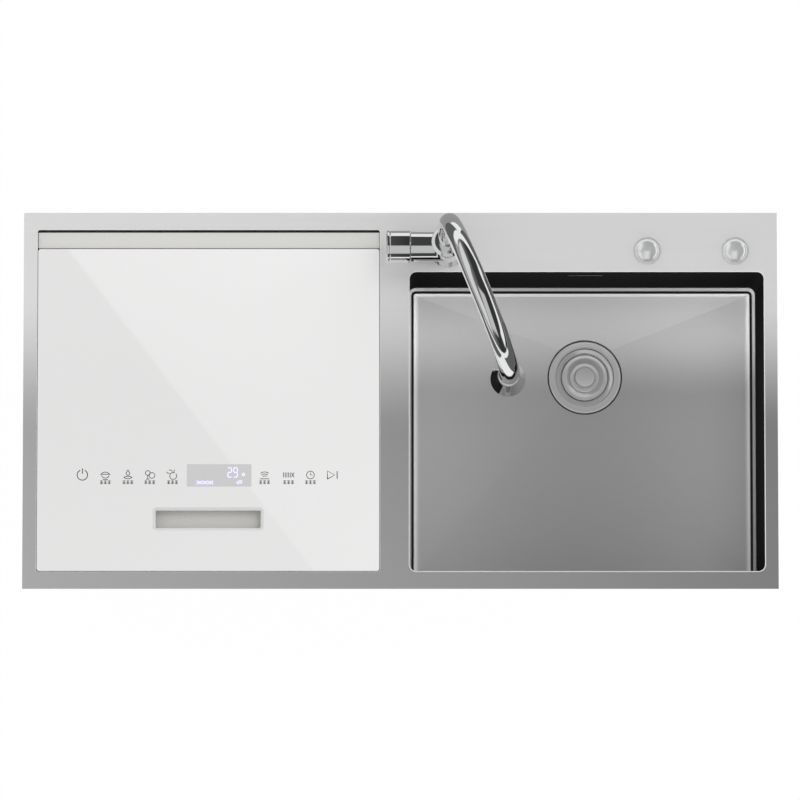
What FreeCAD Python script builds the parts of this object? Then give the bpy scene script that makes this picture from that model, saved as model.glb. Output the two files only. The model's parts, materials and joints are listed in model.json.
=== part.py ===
import FreeCAD, Part
import math
import os
import re
import Sketcher

# Sink unit with a built-in top-loading dishwasher on the left, a bowl on the right and a swan-neck tap.
# Millimetres. +X right, +Y to the back, +Z up. The origin is the middle of the plane on which the
# deck's foam seal lies, so Z = 0 is the top of the worktop.

os.makedirs("parts", exist_ok=True)
doc = FreeCAD.newDocument("sink_dishwasher")

SIZES = {
    # Deck sheet, its margins and its two openings
    "left_margin": 16,
    "right_margin": 15,
    "front_margin": 20,
    "back_margin": 20,
    "bay_width": 410,
    "bay_depth": 410,
    "bay_corner": 3,
    "web_width": 34,
    "bowl_width": 425,
    "tap_ledge": 70,
    "deck_top": 4,
    "deck_sheet": 1.2,
    "pan_sheet": 1,
    "fit_gap": 0.3,
    "foam_width": 9,
    # Worktop clips along the front and the back
    "clip_width": 12,
    "clip_block": 7,
    "clip_reach": 13,
    "clip_sheet": 2,
    "clip_drop": 34,
    "clip_pitch": 236,
    "clip_tooth": 4,
    "clip_screw": 2.5,
    "clip_head": 3.6,
    "clip_head_height": 3,
    "screw_length": 46,
    # Bowl
    "bowl_corner": 9,
    "bowl_depth": 200,
    "floor_fall": 6,
    "floor_flat": 34,
    "drain_setback": 109,
    "seat_drop": 2,
    "seat_radius": 46,
    "drain_hole": 37.5,
    "drain_shift": 4,
    "slot_width": 49,
    "slot_height": 11,
    "slot_depth": 55,
    "mat_thickness": 3,
    "mat_length": 240,
    "mat_height": 90,
    # Drain
    "flange_radius": 44.2,
    "flange_sheet": 1.2,
    "cup_radius": 36.8,
    "cup_wall": 1,
    "cup_depth": 30,
    "cup_mouth": 22,
    "nut_height": 10,
    "nut_radius": 47,
    "trap_wall": 3,
    "trap_depth": 48,
    "outlet_radius": 24,
    "outlet_wall": 2.5,
    "outlet_length": 34,
    "port_drop": 44,
    "port_collar": 8,
    "basket_gap": 0.5,
    "basket_sink": 2,
    "basket_wall": 1,
    "basket_slot": 4.4,
    "basket_spoke": 3,
    "stopper_radius": 28.4,
    "stopper_sheet": 2,
    "stopper_dome": 20,
    "stopper_knob": 12.3,
    "stopper_step": 2.2,
    "stopper_grip": 5,
    "stem_radius": 3,
    # Overflow
    "elbow_width": 62,
    "elbow_depth": 30,
    "elbow_height": 30,
    "pipe_radius": 11.2,
    "pipe_wall": 1.5,
    "elbow_wall": 2,
    "socket_depth": 10,
    # Tap
    "tap_offset": 46,
    "tap_setback": 45.8,
    "tap_hole": 17.5,
    "tap_base": 20.5,
    "tap_base_height": 7,
    "tap_body": 17.7,
    "tap_body_height": 101,
    "tap_shank": 16,
    "tap_shank_length": 58,
    "supply_bore": 4.2,
    "supply_depth": 14,
    "branch_height": 45,
    "branch_length": 43.5,
    "branch_bore": 13,
    "branch_depth": 20,
    "knob_radius": 19,
    "knob_rim": 19.8,
    "knob_length": 28.7,
    "knob_flange": 3.5,
    "spindle_radius": 4,
    "collar_radius": 19.4,
    "collar_height": 5,
    "swivel_radius": 8,
    "swivel_length": 16,
    "spout_radius": 11.7,
    "spout_rise": 172,
    "spout_bend": 92,
    "spout_drop": 41,
    "spout_turn": 22,
    "bell_radius": 20.5,
    "bell_height": 56,
    "bell_neck": 26,
    "bell_lip": 2,
    "bell_wall": 2.5,
    "bell_recess": 5,
    # Two capped holes beside the tap, and the nuts under the deck
    "cap_offset": 35,
    "cap_pitch": 105,
    "ring_radius": 16.5,
    "ring_height": 2,
    "dome_radius": 14.2,
    "dome_height": 8,
    "cap_stud": 6,
    "cap_hole": 12,
    "stud_length": 22,
    "nut_gap": 0.2,
    "nut_thickness": 9,
    "cap_nut": 17,
    "tap_nut": 26,
    # Lid
    "lid_gap": 1.2,
    "glass_thickness": 4,
    "frame_inset": 1.3,
    "frame_height": 26,
    "frame_wall": 2.5,
    "frame_setback": 13.5,
    "frame_lip": 7,
    "rib_thickness": 2,
    "board_room": 6,
    "liner_sheet": 1,
    "liner_bulge": 6,
    "liner_slope": 16,
    "rib_spacing": 120,
    "grip_width": 125,
    "grip_length": 21,
    "grip_corner": 1.5,
    "grip_bevel": 3.6,
    "grip_depth": 17,
    "grip_wall": 1.5,
    "grip_flange": 3,
    "grip_setback": 63,
    "row_setback": 115.2,
    "window_width": 77,
    "window_length": 26.7,
    "window_offset": 13,
    "board_width": 326,
    "board_length": 42,
    "board_thickness": 1.6,
    # Hinge
    "strip_gap": 3.5,
    "strip_depth": 18.8,
    "strip_drop": 3.5,
    "strip_sheet": 2,
    "pivot_reach": 9.5,
    "pivot_drop": 6.5,
    "hinge_spacing": 300,
    "arm_thickness": 5,
    "arm_width": 6,
    "arm_drop": 15.5,
    "eye_radius": 5.5,
    "pin_radius": 3,
    "pin_gap": 0.08,
    "cheek_thickness": 2,
    "foot_height": 17,
    "foot_sheet": 3,
    "damper_radius": 6,
    "damper_length": 36,
    "damper_grip": 12,
    # Tub
    "seal_height": 6.7,
    "seal_width": 9,
    "seal_inset": 2,
    "ledge_side": 14,
    "ledge_rear": 16,
    "tub_corner": 20,
    "tub_depth": 266,
    "plinth_height": 130,
    # Washing system
    "sump_offset": 72,
    "sump_radius": 46,
    "sump_cup": 27,
    "sump_flange": 8,
    "sump_wall": 2.5,
    "sump_depth": 32,
    "cup_drop": 96,
    "pump_drop": 74,
    "pump_port": 15,
    "drain_port": 9,
    "drain_standoff": 9,
    "pipe_seat": 6,
    "volute_radius": 42,
    "volute_length": 34,
    "volute_wall": 3,
    "motor_radius": 36,
    "motor_length": 92,
    "impeller_radius": 31,
    "shaft_radius": 4,
    "blade_height": 12,
    "blade_width": 2,
    "blade_sweep": 9,
    "riser_radius": 10,
    "hub_height": 17,
    "hub_cap": 4,
    "hub_nut": 5,
    "arm_radius": 150,
    "arm_root": 20,
    "arm_tip": 12,
    "arm_height": 11,
    "nozzle_width": 1,
    "nozzle_length": 5,
    "filter_mesh": 1.2,
    "filter_cup": 21,
    "filter_depth": 58,
    "filter_lap": 5,
    "filter_grip": 9,
    "filter_rim": 3,
    "float_offset_x": 160,
    "float_offset_y": 79,
    "float_radius": 17,
    "float_height": 22,
    "float_stem": 4,
    "float_stem_length": 20,
    "drain_motor": 24,
    "drain_motor_length": 52,
    "drain_chamber": 27,
    "drain_chamber_length": 20,
    "hose_end_radius": 10,
    "hose_end_wall": 2,
    "hose_end_reach": 28,
    "hose_end_step": 0.8,
    "hose_end_stop": 1,
    # Casing
    "casing_wall": 2,
    "casing_flange": 8,
    "casing_setback": 5,
    "tray_floor": 3,
    "tray_wall": 2.5,
    "tray_shoulder": 14,
    "tray_height": 30,
    "valve_offset": 118,
    "valve_radius": 13.2,
    "valve_reach": 15,
    "valve_wall": 4,
    "valve_neck": 0.8,
    "valve_relief": 0.5,
    "valve_depth": 44,
    "gland_offset": 62,
    "gland_radius": 9,
    "gland_flange": 3,
    "gland_barrel": 14,
    "cord_radius": 3.8,
    "box_width": 84,
    "box_length": 110,
    "box_height": 88,
    "box_inset": 14,
    # Rack and cutlery basket
    "rack_gap": 10,
    "rack_lift": 38,
    "rack_height": 104,
    "rack_wire": 3.6,
    "rack_chamfer": 12,
    "foot_inset": 60,
    "wire_sink": 0.4,
    "tine_height": 56,
    "cutlery_width": 96,
    "cutlery_length": 66,
    "cutlery_height": 96,
    "cutlery_wall": 2,
}

PLACES = {
    "deck_width": "left_margin + bay_width + web_width + bowl_width + right_margin",
    "deck_depth": "front_margin + bay_depth + back_margin",
    "deck_right": "deck_width / 2",
    "deck_back": "deck_depth / 2",
    "deck_under": "deck_top - deck_sheet",
    "bay_left": "left_margin - deck_right",
    "bay_right": "bay_left + bay_width",
    "bay_front": "front_margin - deck_back",
    "bay_back": "bay_front + bay_depth",
    "bay_middle": "(bay_left + bay_right) / 2",
    "bowl_left": "bay_right + web_width",
    "bowl_right": "bowl_left + bowl_width",
    "bowl_back": "deck_back - tap_ledge",
    "bowl_foot": "deck_top - bowl_depth",
    "bowl_floor": "bowl_foot - floor_fall",
    "bowl_middle": "(bowl_left + bowl_right) / 2",
    "drain_x": "bowl_middle + drain_shift",
    "drain_y": "bowl_back - drain_setback",
    "seat_level": "bowl_floor - seat_drop",
    "tap_x": "bowl_left + tap_offset",
    "tap_y": "deck_back - tap_setback",
    "cap_x": "bowl_right - cap_offset",
    "slot_level": "deck_top - slot_depth",
    "overflow_y": "bowl_back + pan_sheet + elbow_depth / 2",
    "port_level": "seat_level - port_drop",
    "clip_row": "pan_sheet + fit_gap + clip_block / 2",
    # Lid and hinge
    "lid_left": "bay_left + lid_gap",
    "lid_right": "bay_right - lid_gap",
    "lid_front": "bay_front + lid_gap",
    "strip_back": "bay_back - strip_gap",
    "strip_front": "strip_back - strip_depth",
    "lid_back": "strip_front - lid_gap",
    "strip_top": "deck_top - strip_drop",
    "strip_under": "strip_top - strip_sheet",
    "pivot_y": "lid_back + pivot_reach",
    "pivot_z": "strip_under - pivot_drop",
    "glass_under": "deck_top - glass_thickness",
    "frame_left": "lid_left + frame_inset",
    "frame_right": "lid_right - frame_inset",
    "frame_front": "lid_front + frame_inset",
    "frame_back": "lid_back - frame_setback",
    "frame_under": "glass_under - frame_height",
    "liner_under": "frame_under - liner_sheet",
    "plate_under": "glass_under - frame_wall",
    "grip_y": "bay_front + grip_setback",
    "row_y": "bay_front + row_setback",
    # Tub
    "ledge_level": "liner_under - fit_gap - seal_height",
    "mouth_left": "bay_left + ledge_side",
    "mouth_right": "bay_right - ledge_side",
    "mouth_front": "bay_front + ledge_side",
    "mouth_back": "frame_back - ledge_rear",
    "tub_middle": "(mouth_front + mouth_back) / 2",
    "tub_floor": "ledge_level - tub_depth",
    "casing_foot": "tub_floor - plinth_height",
    # Washing system
    "sump_x": "bay_middle - sump_offset",
    "float_x": "bay_middle - float_offset_x",
    "float_y": "tub_middle + float_offset_y",
    "pump_z": "tub_floor - pump_drop",
    "drain_pipe_x": "sump_x - sump_cup - sump_wall - drain_standoff - drain_chamber_length / 2",
    "valve_x": "casing_right - valve_offset",
    "gland_x": "casing_right - gland_offset",
    "casing_left": "bay_left - pan_sheet",
    "casing_right": "bay_right + pan_sheet",
    "casing_front": "bay_front - pan_sheet + casing_setback",
    "casing_back": "bay_back + pan_sheet",
    "casing_top": "ledge_level - pan_sheet",
    "casing_low": "casing_foot + tray_shoulder",
    "rack_left": "mouth_left + rack_gap",
    "rack_right": "mouth_right - rack_gap",
    "rack_front": "mouth_front + rack_gap",
    "rack_back": "mouth_back - rack_gap",
    "rack_floor": "tub_floor + rack_lift",
    "rack_rim": "rack_floor + rack_height",
    "rack_root": "rack_chamfer + rack_wire / 2",
    "raised_floor": "rack_floor + rack_wire - wire_sink",
    "row_start": "rack_front + 2 * rack_chamfer",
    "row_step": "(rack_back - rack_front - 4 * rack_chamfer) / 5",
    "column_start": "rack_left + 2 * rack_chamfer",
    "column_step": "(rack_right - rack_left - 4 * rack_chamfer) / 6",
}

# The two sheets: driving sizes as plain numbers, and the places worked out from them


def fill_sheet(name, rows):
    sheet = doc.addObject("Spreadsheet::Sheet", name)
    for row, (word, content) in enumerate(rows.items(), 1):
        sheet.set(f"A{row}", word)
        sheet.set(f"B{row}", content)
        sheet.setAlias(f"B{row}", word)
    return sheet


def full(text):
    """The expression with each word led to the sheet that holds it."""

    def lead(match):
        word = match.group(0)
        if word in SIZES:
            return "sizes." + word
        if word in PLACES:
            return "places." + word
        return word

    return re.sub(r"[a-z_]+", lead, str(text))


fill_sheet("sizes", {word: str(number) for word, number in SIZES.items()})
places = fill_sheet("places", {word: "=" + full(text) for word, text in PLACES.items()})
doc.recompute()


def number(text):
    found = places.evalExpression(full(text))
    return float(getattr(found, "Value", found))


# Helpers for sketches and features


def rectangle(left, right, front, back, corner=None):
    corners = [(left, front), (right, front), (right, back), (left, back)]
    return [point + (corner,) for point in corners] if corner else corners


def ringed(left, right, front, back, inset, corner=None):
    """A rectangle moved inwards by inset on every side."""
    return rectangle(f"{left} + ({inset})", f"{right} - ({inset})", f"{front} + ({inset})",
                     f"{back} - ({inset})", corner)


def polygon(x, y, radius, count):
    """The corners of an even outline round the point, each as far out as radius."""
    turns = [2 * math.pi * i / count for i in range(count)]
    return [(f"{x} + ({radius}) * {math.cos(turn):.6f}", f"{y} + ({radius}) * {math.sin(turn):.6f}")
            for turn in turns]


def hexagon(x, y, radius):
    return polygon(x, y, radius, 6)


def pin_down(sketch, geometry, corner, point):
    for kind, text, value in (("DistanceX", corner[0], point.x), ("DistanceY", corner[1], point.y)):
        index = sketch.addConstraint(Sketcher.Constraint(kind, -1, 1, geometry, 1, value))
        sketch.setExpression(f"Constraints[{index}]", full(text))


def add_disc(sketch, x, y, radius):
    centre = FreeCAD.Vector(number(x), number(y), 0)
    disc = sketch.addGeometry(Part.Circle(centre, FreeCAD.Vector(0, 0, 1), number(radius)), False)
    for kind, text, value in (("DistanceX", x, centre.x), ("DistanceY", y, centre.y)):
        index = sketch.addConstraint(Sketcher.Constraint(kind, -1, 1, disc, 3, value))
        sketch.setExpression(f"Constraints[{index}]", full(text))
    index = sketch.addConstraint(Sketcher.Constraint("Radius", disc, number(radius)))
    sketch.setExpression(f"Constraints[{index}]", full(radius))


def corner_arc(point, to_last, to_next, radius):
    """The arc that rounds a corner, where it starts and ends, and whether it runs with the outline."""
    half = to_last.getAngle(to_next) / 2
    middle = (to_last + to_next).normalize()
    centre = point + middle * (radius / math.sin(half))
    reach = radius / math.tan(half)
    first = point + to_last * reach
    last = point + to_next * reach
    forward = to_last.cross(to_next).z < 0
    ends = (first, last) if forward else (last, first)
    angles = [math.atan2(end.y - centre.y, end.x - centre.x) for end in ends]
    circle = Part.Circle(centre, FreeCAD.Vector(0, 0, 1), radius)
    return Part.ArcOfCircle(circle, *angles), first, last, forward


def add_outline(sketch, corners):
    """A closed outline whose corners, and their radii where a third value gives one, follow the sheets."""
    points = [FreeCAD.Vector(number(corner[0]), number(corner[1]), 0) for corner in corners]
    count = len(points)
    arcs, firsts, lasts = {}, list(points), list(points)
    for i, corner in enumerate(corners):
        if len(corner) == 3:
            to_last = (points[i - 1] - points[i]).normalize()
            to_next = (points[(i + 1) % count] - points[i]).normalize()
            arc, firsts[i], lasts[i], forward = corner_arc(points[i], to_last, to_next, number(corner[2]))
            arcs[i] = (sketch.addGeometry(arc, False), forward)
    lines = []
    for i in range(count):
        line = Part.LineSegment(lasts[i], firsts[(i + 1) % count])
        lines.append(sketch.addGeometry(line, False))
    for i, corner in enumerate(corners):
        before, after = lines[i - 1], lines[i]
        if i not in arcs:
            sketch.addConstraint(Sketcher.Constraint("Coincident", before, 2, after, 1))
            pin_down(sketch, after, corner, points[i])
            continue
        arc, forward = arcs[i]
        start, end = (1, 2) if forward else (2, 1)
        sketch.addConstraint(Sketcher.Constraint("Tangent", before, 2, arc, start))
        sketch.addConstraint(Sketcher.Constraint("Tangent", arc, end, after, 1))
        index = sketch.addConstraint(Sketcher.Constraint("Radius", arc, number(corner[2])))
        sketch.setExpression(f"Constraints[{index}]", full(corner[2]))
        mark = sketch.addGeometry(Part.Point(points[i]), True)
        sketch.addConstraint(Sketcher.Constraint("PointOnObject", mark, 1, before))
        sketch.addConstraint(Sketcher.Constraint("PointOnObject", mark, 1, after))
        pin_down(sketch, mark, corner, points[i])


def new_body(label):
    body = doc.addObject("PartDesign::Body", label)
    body.Label = label
    return body


def draw(body, plane, level, *loops):
    """A sketch on one of the body's own planes, raised by level along that plane's normal."""
    support = [item for item in body.Origin.OriginFeatures if item.Role == plane][0]
    sketch = body.newObject("Sketcher::SketchObject", body.Label + "_sketch")
    sketch.AttachmentSupport = [(support, "")]
    sketch.MapMode = "FlatFace"
    sketch.setExpression("AttachmentOffset.Base.z", full(level))
    for loop in loops:
        if isinstance(loop, tuple):
            add_disc(sketch, *loop)
        else:
            add_outline(sketch, loop)
    return sketch


def feature(body, kind, sketch, length=None, down=False, both=False):
    """A Pad or Pocket of the sketch; a Pocket with no length cuts through everything."""
    made = body.newObject("PartDesign::" + kind, body.Label + "_" + kind.lower())
    made.Profile = sketch
    if length is None:
        made.Type = "ThroughAll"
    else:
        made.setExpression("Length", full(length))
    made.Reversed = down if kind == "Pad" else not down
    made.Midplane = both
    return made


def pad(body, plane, level, length, *loops, down=False, both=False):
    return feature(body, "Pad", draw(body, plane, level, *loops), length, down, both)


def cut(body, plane, level, length, *loops, down=True, both=False):
    return feature(body, "Pocket", draw(body, plane, level, *loops), length, down, both)


def spin(body, outline):
    """A Revolution of an outline given as (radius, height), about the body's upright axis."""
    sketch = draw(body, "XZ_Plane", "0", outline)
    made = body.newObject("PartDesign::Revolution", body.Label + "_revolution")
    made.Profile = sketch
    made.ReferenceAxis = (sketch, ["V_Axis"])
    made.Angle = 360
    return made


def soften(body, kind, radius, chosen):
    """A Fillet or Chamfer on the edges of the body's last feature that chosen accepts."""
    doc.recompute()
    base = body.Tip
    names = [f"Edge{i}" for i, edge in enumerate(base.Shape.Edges, 1) if chosen(edge)]
    made = body.newObject("PartDesign::" + kind, body.Label + "_" + kind.lower())
    made.Base = (base, names)
    made.setExpression("Radius" if kind == "Fillet" else "Size", full(radius))
    return made


def repeat(body, kind, source, count, **bound):
    made = body.newObject("PartDesign::" + kind, body.Label + "_pattern")
    made.Originals = [source]
    axis, made.Occurrences = bound.pop("axis"), count
    line = [item for item in body.Origin.OriginFeatures if item.Role == axis][0]
    if kind == "LinearPattern":
        made.Direction = (line, [""])
    else:
        made.Axis = (line, [""])
    for name, text in bound.items():
        made.setExpression(name, full(text))
    body.Tip = made
    return made


def put(thing, x, y, z, axis=None, angle=0):
    for name, text in (("x", x), ("y", y), ("z", z)):
        thing.setExpression("Placement.Base." + name, full(text))
    if axis:
        thing.Placement = FreeCAD.Placement(thing.Placement.Base, FreeCAD.Rotation(axis, angle))
    return thing


def level_edges(height):
    """Accepts the edges that lie flat at the height."""
    at = number(height)
    return lambda edge: abs(edge.BoundBox.ZMin - at) < 1e-6 and abs(edge.BoundBox.ZMax - at) < 1e-6


def box(label, left, right, front, back, low, high):
    made = doc.addObject("Part::Box", label)
    made.setExpression("Length", full(f"({right}) - ({left})"))
    made.setExpression("Width", full(f"({back}) - ({front})"))
    made.setExpression("Height", full(f"({high}) - ({low})"))
    return put(made, left, front, low)


def rod(label, radius, length, x, y, z, axis=None, angle=0):
    made = doc.addObject("Part::Cylinder", label)
    made.setExpression("Radius", full(radius))
    made.setExpression("Height", full(length))
    return put(made, x, y, z, axis, angle)


def join(label, pieces):
    made = doc.addObject("Part::MultiFuse", label)
    made.Shapes = pieces
    return made


def subtract(label, base, tool):
    made = doc.addObject("Part::Cut", label)
    made.Base = base
    made.Tool = tool
    return made


def group(label, pieces):
    made = doc.addObject("Part::Compound", label)
    made.Links = pieces
    return made


def mirrored(label, source, x):
    """A copy on the other side of the upright plane at x."""
    made = doc.addObject("Part::Mirroring", label)
    made.Source = source
    made.Normal = FreeCAD.Vector(1, 0, 0)
    made.setExpression("Base.x", full(x))
    return made


def frustum(label, top, low, bottom, drop):
    """A solid with flat sides between the rectangle top at height low and bottom, drop below it."""
    made = doc.addObject("Part::Wedge", label)
    (left, right, front, back), (left_b, right_b, front_b, back_b) = top, bottom
    bounds = {"Xmin": left, "Xmax": right, "Zmin": front, "Zmax": back, "Ymin": "0", "Ymax": drop,
              "X2min": left_b, "X2max": right_b, "Z2min": front_b, "Z2max": back_b}
    for name, text in bounds.items():
        setattr(made, name, number(text))
        made.setExpression(name, full(text))
    return put(made, "0", "0", low, X_AXIS, -90)


X_AXIS = FreeCAD.Vector(1, 0, 0)
Y_AXIS = FreeCAD.Vector(0, 1, 0)

# Deck


def deck_panel():
    body = new_body("deck_panel")
    outer = rectangle("-deck_right", "deck_right", "-deck_back", "deck_back")
    pad(body, "XY_Plane", "0", "deck_top", outer)
    hollow = ringed("-deck_right", "deck_right", "-deck_back", "deck_back", "deck_sheet")
    cut(body, "XY_Plane", "0", "deck_under", hollow, down=False)
    bay = rectangle("bay_left", "bay_right", "bay_front", "bay_back", "bay_corner")
    bowl = rectangle("bowl_left", "bowl_right", "bay_front", "bowl_back", "bowl_corner")
    holes = [("tap_x", "tap_y", "tap_hole"), ("cap_x", "tap_y", "cap_hole"),
             ("cap_x - cap_pitch", "tap_y", "cap_hole")]
    cut(body, "XY_Plane", "0", None, bay, bowl, *holes, down=False)
    return body


def rim_seal():
    body = new_body("rim_seal")
    edges = ("-deck_right", "deck_right", "-deck_back", "deck_back")
    outer = ringed(*edges, "deck_sheet + fit_gap")
    inner = ringed(*edges, "deck_sheet + fit_gap + foam_width")
    pad(body, "XY_Plane", "0", "deck_under", outer, inner)
    return body


def clip_bodies(side, row, outward):
    """Four claws and their screws, each screw with the welded block that it turns in."""
    start = "-1.5 * clip_pitch"
    claws = new_body(f"clip_claws_{side}")
    near = f"{row} - {outward} * clip_block / 2"
    far = f"{row} + {outward} * clip_reach"
    inside = f"{far} - {outward} * clip_sheet"
    under = "-clip_drop - clip_sheet"
    hook = [(near, under), (near, "-clip_drop"), (inside, "-clip_drop"), (inside, "clip_tooth - clip_drop"),
            (far, "clip_tooth - clip_drop"), (far, under)]
    plate = pad(claws, "YZ_Plane", start, "clip_width", hook, both=True)
    slot_end = f"{row} + {outward} * (clip_screw + fit_gap)"
    half = "clip_screw + fit_gap"
    ends = (near, slot_end) if outward > 0 else (slot_end, near)
    slot = rectangle(f"{start} - ({half})", f"{start} + {half}", *ends)
    notch = cut(claws, "XY_Plane", under, "clip_sheet", slot, down=False)
    pattern = repeat(claws, "LinearPattern", plate, 4, axis="X_Axis", Length="3 * clip_pitch")
    pattern.Originals = [plate, notch]
    screws = new_body(f"clip_screws_{side}")
    block = rectangle(f"{start} - clip_width / 2", f"{start} + clip_width / 2",
                      f"{row} - clip_block / 2", f"{row} + clip_block / 2")
    blocks = pad(screws, "XY_Plane", "deck_under", "clip_block + deck_under", block, down=True)
    shanks = pad(screws, "XY_Plane", "-clip_block", "screw_length - clip_block",
                 hexagon(start, row, "clip_screw"), down=True)
    heads = pad(screws, "XY_Plane", "-clip_drop - clip_sheet - fit_gap", "clip_head_height",
                hexagon(start, row, "clip_head"), down=True)
    pattern = repeat(screws, "LinearPattern", blocks, 4, axis="X_Axis", Length="3 * clip_pitch")
    pattern.Originals = [blocks, shanks, heads]
    return claws, screws


def rim_clips():
    front = clip_bodies("front", "bay_front - clip_row", -1)
    back = clip_bodies("back", "bay_back + clip_row", 1)
    return group("rim_clips", [front[0], back[0]]), group("clip_screws", [front[1], back[1]])


# Bowl


def bowl_form(label, skin):
    """The bowl's inside, or its outside where skin is the sheet: walls, falling floor, drain seat."""
    edges = ("bowl_left", "bowl_right", "bay_front", "bowl_back")
    walls = new_body(label + "_walls")
    pad(walls, "XY_Plane", "deck_under", f"deck_under - bowl_foot + {skin}", ringed(*edges, f"-({skin})"),
        down=True)
    foot = level_edges(f"bowl_foot - {skin}")
    soften(walls, "Fillet", f"bowl_corner + {skin}", lambda edge: edge.BoundBox.ZLength > 1 or foot(edge))
    inset = "(bowl_corner + fit_gap)"
    top = (f"bowl_left + {inset}", f"bowl_right - {inset}", f"bay_front + {inset}", f"bowl_back - {inset}")
    bottom = ("drain_x - floor_flat", "drain_x + floor_flat", "drain_y - floor_flat", "drain_y + floor_flat")
    floor = frustum(label + "_floor", top, f"bowl_foot - {skin}", bottom, "floor_fall")
    seat = rod(label + "_seat", f"seat_radius + {skin}", "floor_fall + seat_drop", "drain_x", "drain_y",
               f"seat_level - {skin}")
    return join(label, [walls, floor, seat])


def sink_bowl():
    outside = bowl_form("bowl_outside", "pan_sheet")
    inside = bowl_form("bowl_inside", "0")
    hole = rod("bowl_drain_hole", "drain_hole", "floor_fall + seat_drop", "drain_x", "drain_y",
               "seat_level - pan_sheet")
    slot = new_body("overflow_slot")
    half = "slot_width / 2"
    loop = rectangle(f"bowl_middle - {half}", f"bowl_middle + {half}", "slot_level - slot_height / 2",
                     "slot_level + slot_height / 2", "slot_height / 2 - fit_gap / 10")
    pad(slot, "XZ_Plane", "-bowl_back", "3 * pan_sheet", loop, both=True)
    return subtract("sink_bowl", outside, join("bowl_cuts", [inside, hole, slot]))


def bowl_mats():
    """Sound-deadening mats glued to three walls and under the floor's front half."""
    top, low = "slot_level", "slot_level - mat_height"
    middle_y = "(bay_front + bowl_back) / 2"
    along = (f"{middle_y} - mat_length / 2", f"{middle_y} + mat_length / 2")
    left = box("mat_left", "bowl_left - pan_sheet - mat_thickness", "bowl_left - pan_sheet", *along, low, top)
    right = box("mat_right", "bowl_right + pan_sheet", "bowl_right + pan_sheet + mat_thickness", *along,
                low, top)
    front = box("mat_front", "bowl_middle - mat_length / 2", "bowl_middle + mat_length / 2",
                "bay_front - pan_sheet - mat_thickness", "bay_front - pan_sheet", low, top)
    return group("bowl_mats", [left, right, front])


def overflow_elbow():
    """The hood behind the overflow slot, open to the bowl, with a socket for the pipe in its floor."""
    body = new_body("overflow_elbow")
    half = "elbow_width / 2"
    hood = rectangle(f"-{half}", half, "0", "elbow_depth")
    pad(body, "XY_Plane", "-elbow_height / 2", "elbow_height", hood)
    chamber = ringed(f"-{half}", half, "-elbow_height / 2 + socket_depth", "elbow_height / 2", "elbow_wall")
    cut(body, "XZ_Plane", "0", "elbow_depth - elbow_wall", chamber)
    cut(body, "XY_Plane", "0", None, ("0", "elbow_depth / 2", "pipe_radius + fit_gap"))
    return put(body, "drain_x", "bowl_back + pan_sheet", "slot_level")


def overflow_pipe():
    """A straight pipe from the hood down into the upright socket of the trap's side arm."""
    body = new_body("overflow_pipe")
    rise = "slot_level - elbow_height / 2 + socket_depth - port_level - socket_depth / 2"
    pad(body, "XY_Plane", "0", rise, ("0", "0", "pipe_radius"), ("0", "0", "pipe_radius - pipe_wall"))
    return put(body, "drain_x", "overflow_y", "port_level + socket_depth / 2")


# Drain: each piece is turned about the drain's own axis, with height 0 at the floor's seat


def at_drain(thing):
    return put(thing, "drain_x", "drain_y", "seat_level")


def drain_flange():
    body = new_body("drain_flange")
    inner = "cup_radius - cup_wall"
    spin(body, [
        ("cup_mouth", "-cup_depth"), ("cup_radius", "-cup_depth"), ("cup_radius", "0"),
        ("flange_radius", "0"), ("flange_radius", "flange_sheet"), (inner, "flange_sheet"),
        (inner, "cup_wall - cup_depth"), ("cup_mouth", "cup_wall - cup_depth")])
    return at_drain(body)


def drain_locknut():
    body = new_body("drain_locknut")
    pad(body, "XY_Plane", "-pan_sheet", "nut_height", polygon("0", "0", "nut_radius", 10),
        ("0", "0", "cup_radius + pin_gap"), down=True)
    return at_drain(body)


def trap_top():
    return "-pan_sheet - nut_height - fit_gap"


def port_square(inset):
    """The side port's square section, smaller by inset on every side."""
    half = "(pipe_radius + trap_wall)"
    return ringed(f"-{half}", half, f"-port_drop - {half}", f"-port_drop + {half}", inset)


def drain_body():
    """The trap cup under the nut, open below to the tail, with a square collar for the side arm."""
    body = new_body("drain_body")
    top = trap_top()
    pad(body, "XY_Plane", top, "trap_depth", ("0", "0", "cup_radius + fit_gap + trap_wall"), down=True)
    pad(body, "XZ_Plane", "0", "cup_radius + port_collar", port_square("0"), down=True)
    cut(body, "XY_Plane", top, "trap_depth - trap_wall", ("0", "0", "cup_radius + fit_gap"))
    cut(body, "XZ_Plane", "0", None, port_square("trap_wall"))
    cut(body, "XY_Plane", "0", None, ("0", "0", "outlet_radius - outlet_wall"))
    return at_drain(body)


def drain_tail():
    """The outlet pipe below the trap cup."""
    body = new_body("drain_tail")
    pad(body, "XY_Plane", f"{trap_top()} - trap_depth", "outlet_length", ("0", "0", "outlet_radius"),
        ("0", "0", "outlet_radius - outlet_wall"), down=True)
    return at_drain(body)


def overflow_arm():
    """The square arm from the trap's collar to the overflow pipe, with a round socket in its top."""
    body = new_body("overflow_arm")
    start = "cup_radius + port_collar"
    socket = "overflow_y - drain_y"
    length = f"{socket} + pipe_radius + trap_wall - ({start})"
    pad(body, "XZ_Plane", f"-({start})", length, port_square("0"), down=True)
    cut(body, "XZ_Plane", f"-({start})", f"{length} - trap_wall", port_square("trap_wall"))
    cut(body, "XY_Plane", "-port_drop", None, ("0", socket, "pipe_radius + fit_gap"), down=False)
    return at_drain(body)


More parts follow.
